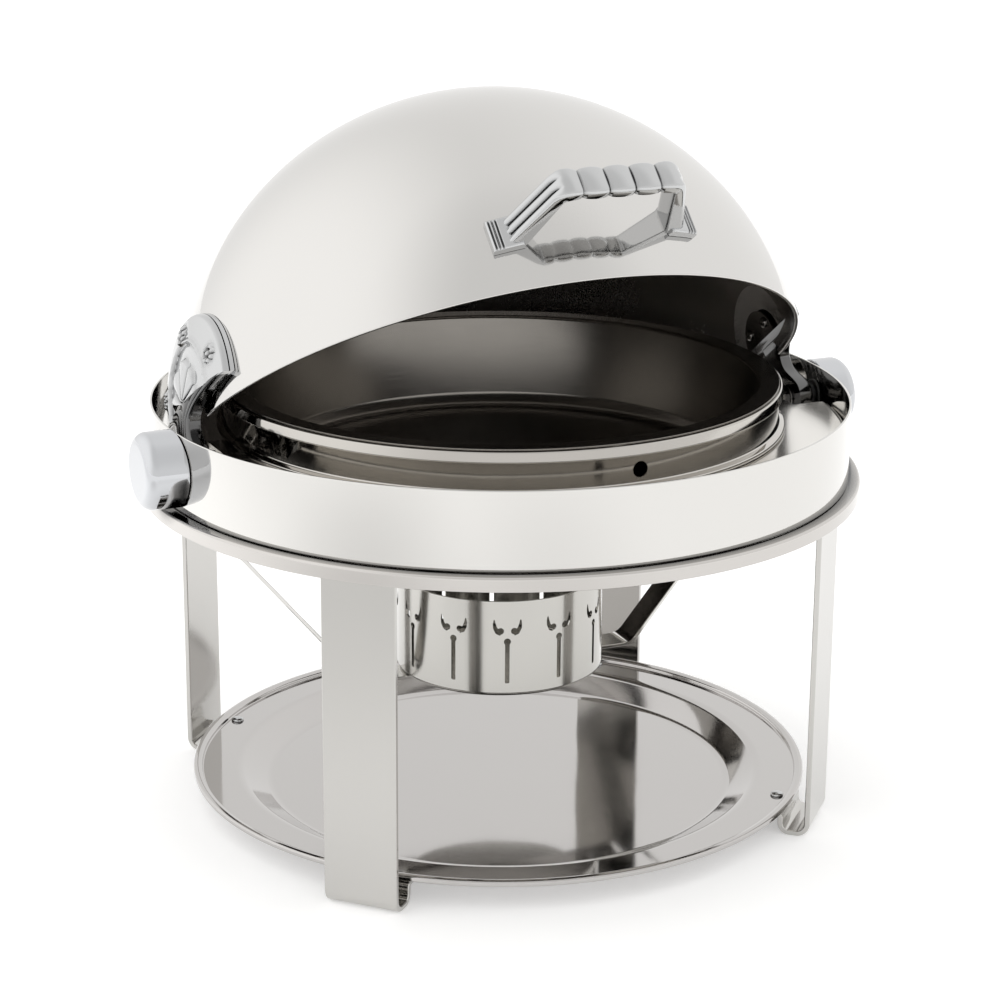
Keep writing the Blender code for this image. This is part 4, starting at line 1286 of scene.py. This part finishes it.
def make_floor():
    """A pale floor that glows a little, a bit more or less in broad soft spots."""
    size = 6
    corners = [(-size, -size, 0), (size, -size, 0), (size, size, 0), (-size, size, 0)]
    floor = bare("floor", mesh_from("floor", corners, [(0, 1, 2, 3)]))
    material, nodes, shader = new_material("floor")
    shader.inputs["Base Color"].default_value = (0.9, 0.9, 0.9, 1)
    shader.inputs["Roughness"].default_value = 0.9
    shader.inputs["Emission Color"].default_value = (1, 1, 1, 1)
    place = nodes.add("ShaderNodeTexCoord").outputs["Object"]
    glow = FLOOR_GLOW
    for azimuth, distance, radius, change in FLOOR_SPOTS:
        away = nodes.add("ShaderNodeVectorMath", {"operation": "DISTANCE"})
        nodes.put(away.inputs[0], place)
        away.inputs[1].default_value = heading(azimuth, 0) * distance
        glow = nodes.maths("ADD", glow, nodes.remap(away.outputs["Value"], radius, 0, 0, change, True))
    nodes.put(shader.inputs["Emission Strength"], glow)
    floor.data.materials.append(material)


def make_world():
    """A soft tent: nearly even, with broad lighter and darker patches."""
    world = bpy.data.worlds.new("studio")
    bpy.context.scene.world = world
    world.use_nodes = True
    nodes = Nodes(world.node_tree)
    background = world.node_tree.nodes["Background"]
    direction = nodes.add("ShaderNodeTexCoord").outputs["Generated"]
    level = 1.0
    for azimuth, elevation, inner, outer, change in TENT_PATCHES:
        node = nodes.add("ShaderNodeVectorMath", {"operation": "DOT_PRODUCT"})
        nodes.put(node.inputs[0], direction)
        node.inputs[1].default_value = heading(azimuth, elevation)
        edge, core = math.cos(math.radians(outer)), math.cos(math.radians(inner))
        patch = nodes.remap(node.outputs["Value"], edge, core, 0, change, True)
        level = nodes.maths("ADD", level, patch)
    shade = nodes.add("ShaderNodeCombineColor", Red=level, Green=nodes.maths("MULTIPLY", level, 0.995),
                      Blue=nodes.maths("MULTIPLY", level, 0.985))
    nodes.put(background.inputs["Color"], shade.outputs[0])
    background.inputs["Strength"].default_value = 1.0


def make_camera():
    data = bpy.data.cameras.new("camera")
    data.lens = CAMERA_LENS
    data.sensor_width = 36
    data.clip_start = 0.05
    camera = bare("camera", data)
    back = heading(CAMERA_AZIMUTH, CAMERA_ELEVATION)
    camera.matrix_world = (
        Matrix.Translation(LOOK_AT + CAMERA_DISTANCE * back)
        @ back.to_track_quat("Z", "Y").to_matrix().to_4x4()
        @ Matrix.Rotation(CAMERA_ROLL, 4, "Z")
    )
    bpy.context.scene.camera = camera


def main():
    make_ring()
    make_legs()
    make_tray()
    make_band()
    make_support()
    make_water_pan()
    make_food_pan()
    make_holder()
    make_bracket()
    make_dome()
    for side, sign in SIDES.items():
        make_hinge_plate(side, sign)
        make_arm(side, sign)
        make_pivot(side, sign)
        make_knob(side, sign)
        make_back_plate(side, sign)
    make_handle()
    make_floor()
    make_world()
    make_camera()
    bpy.context.scene.view_settings.view_transform = "Standard"


main()
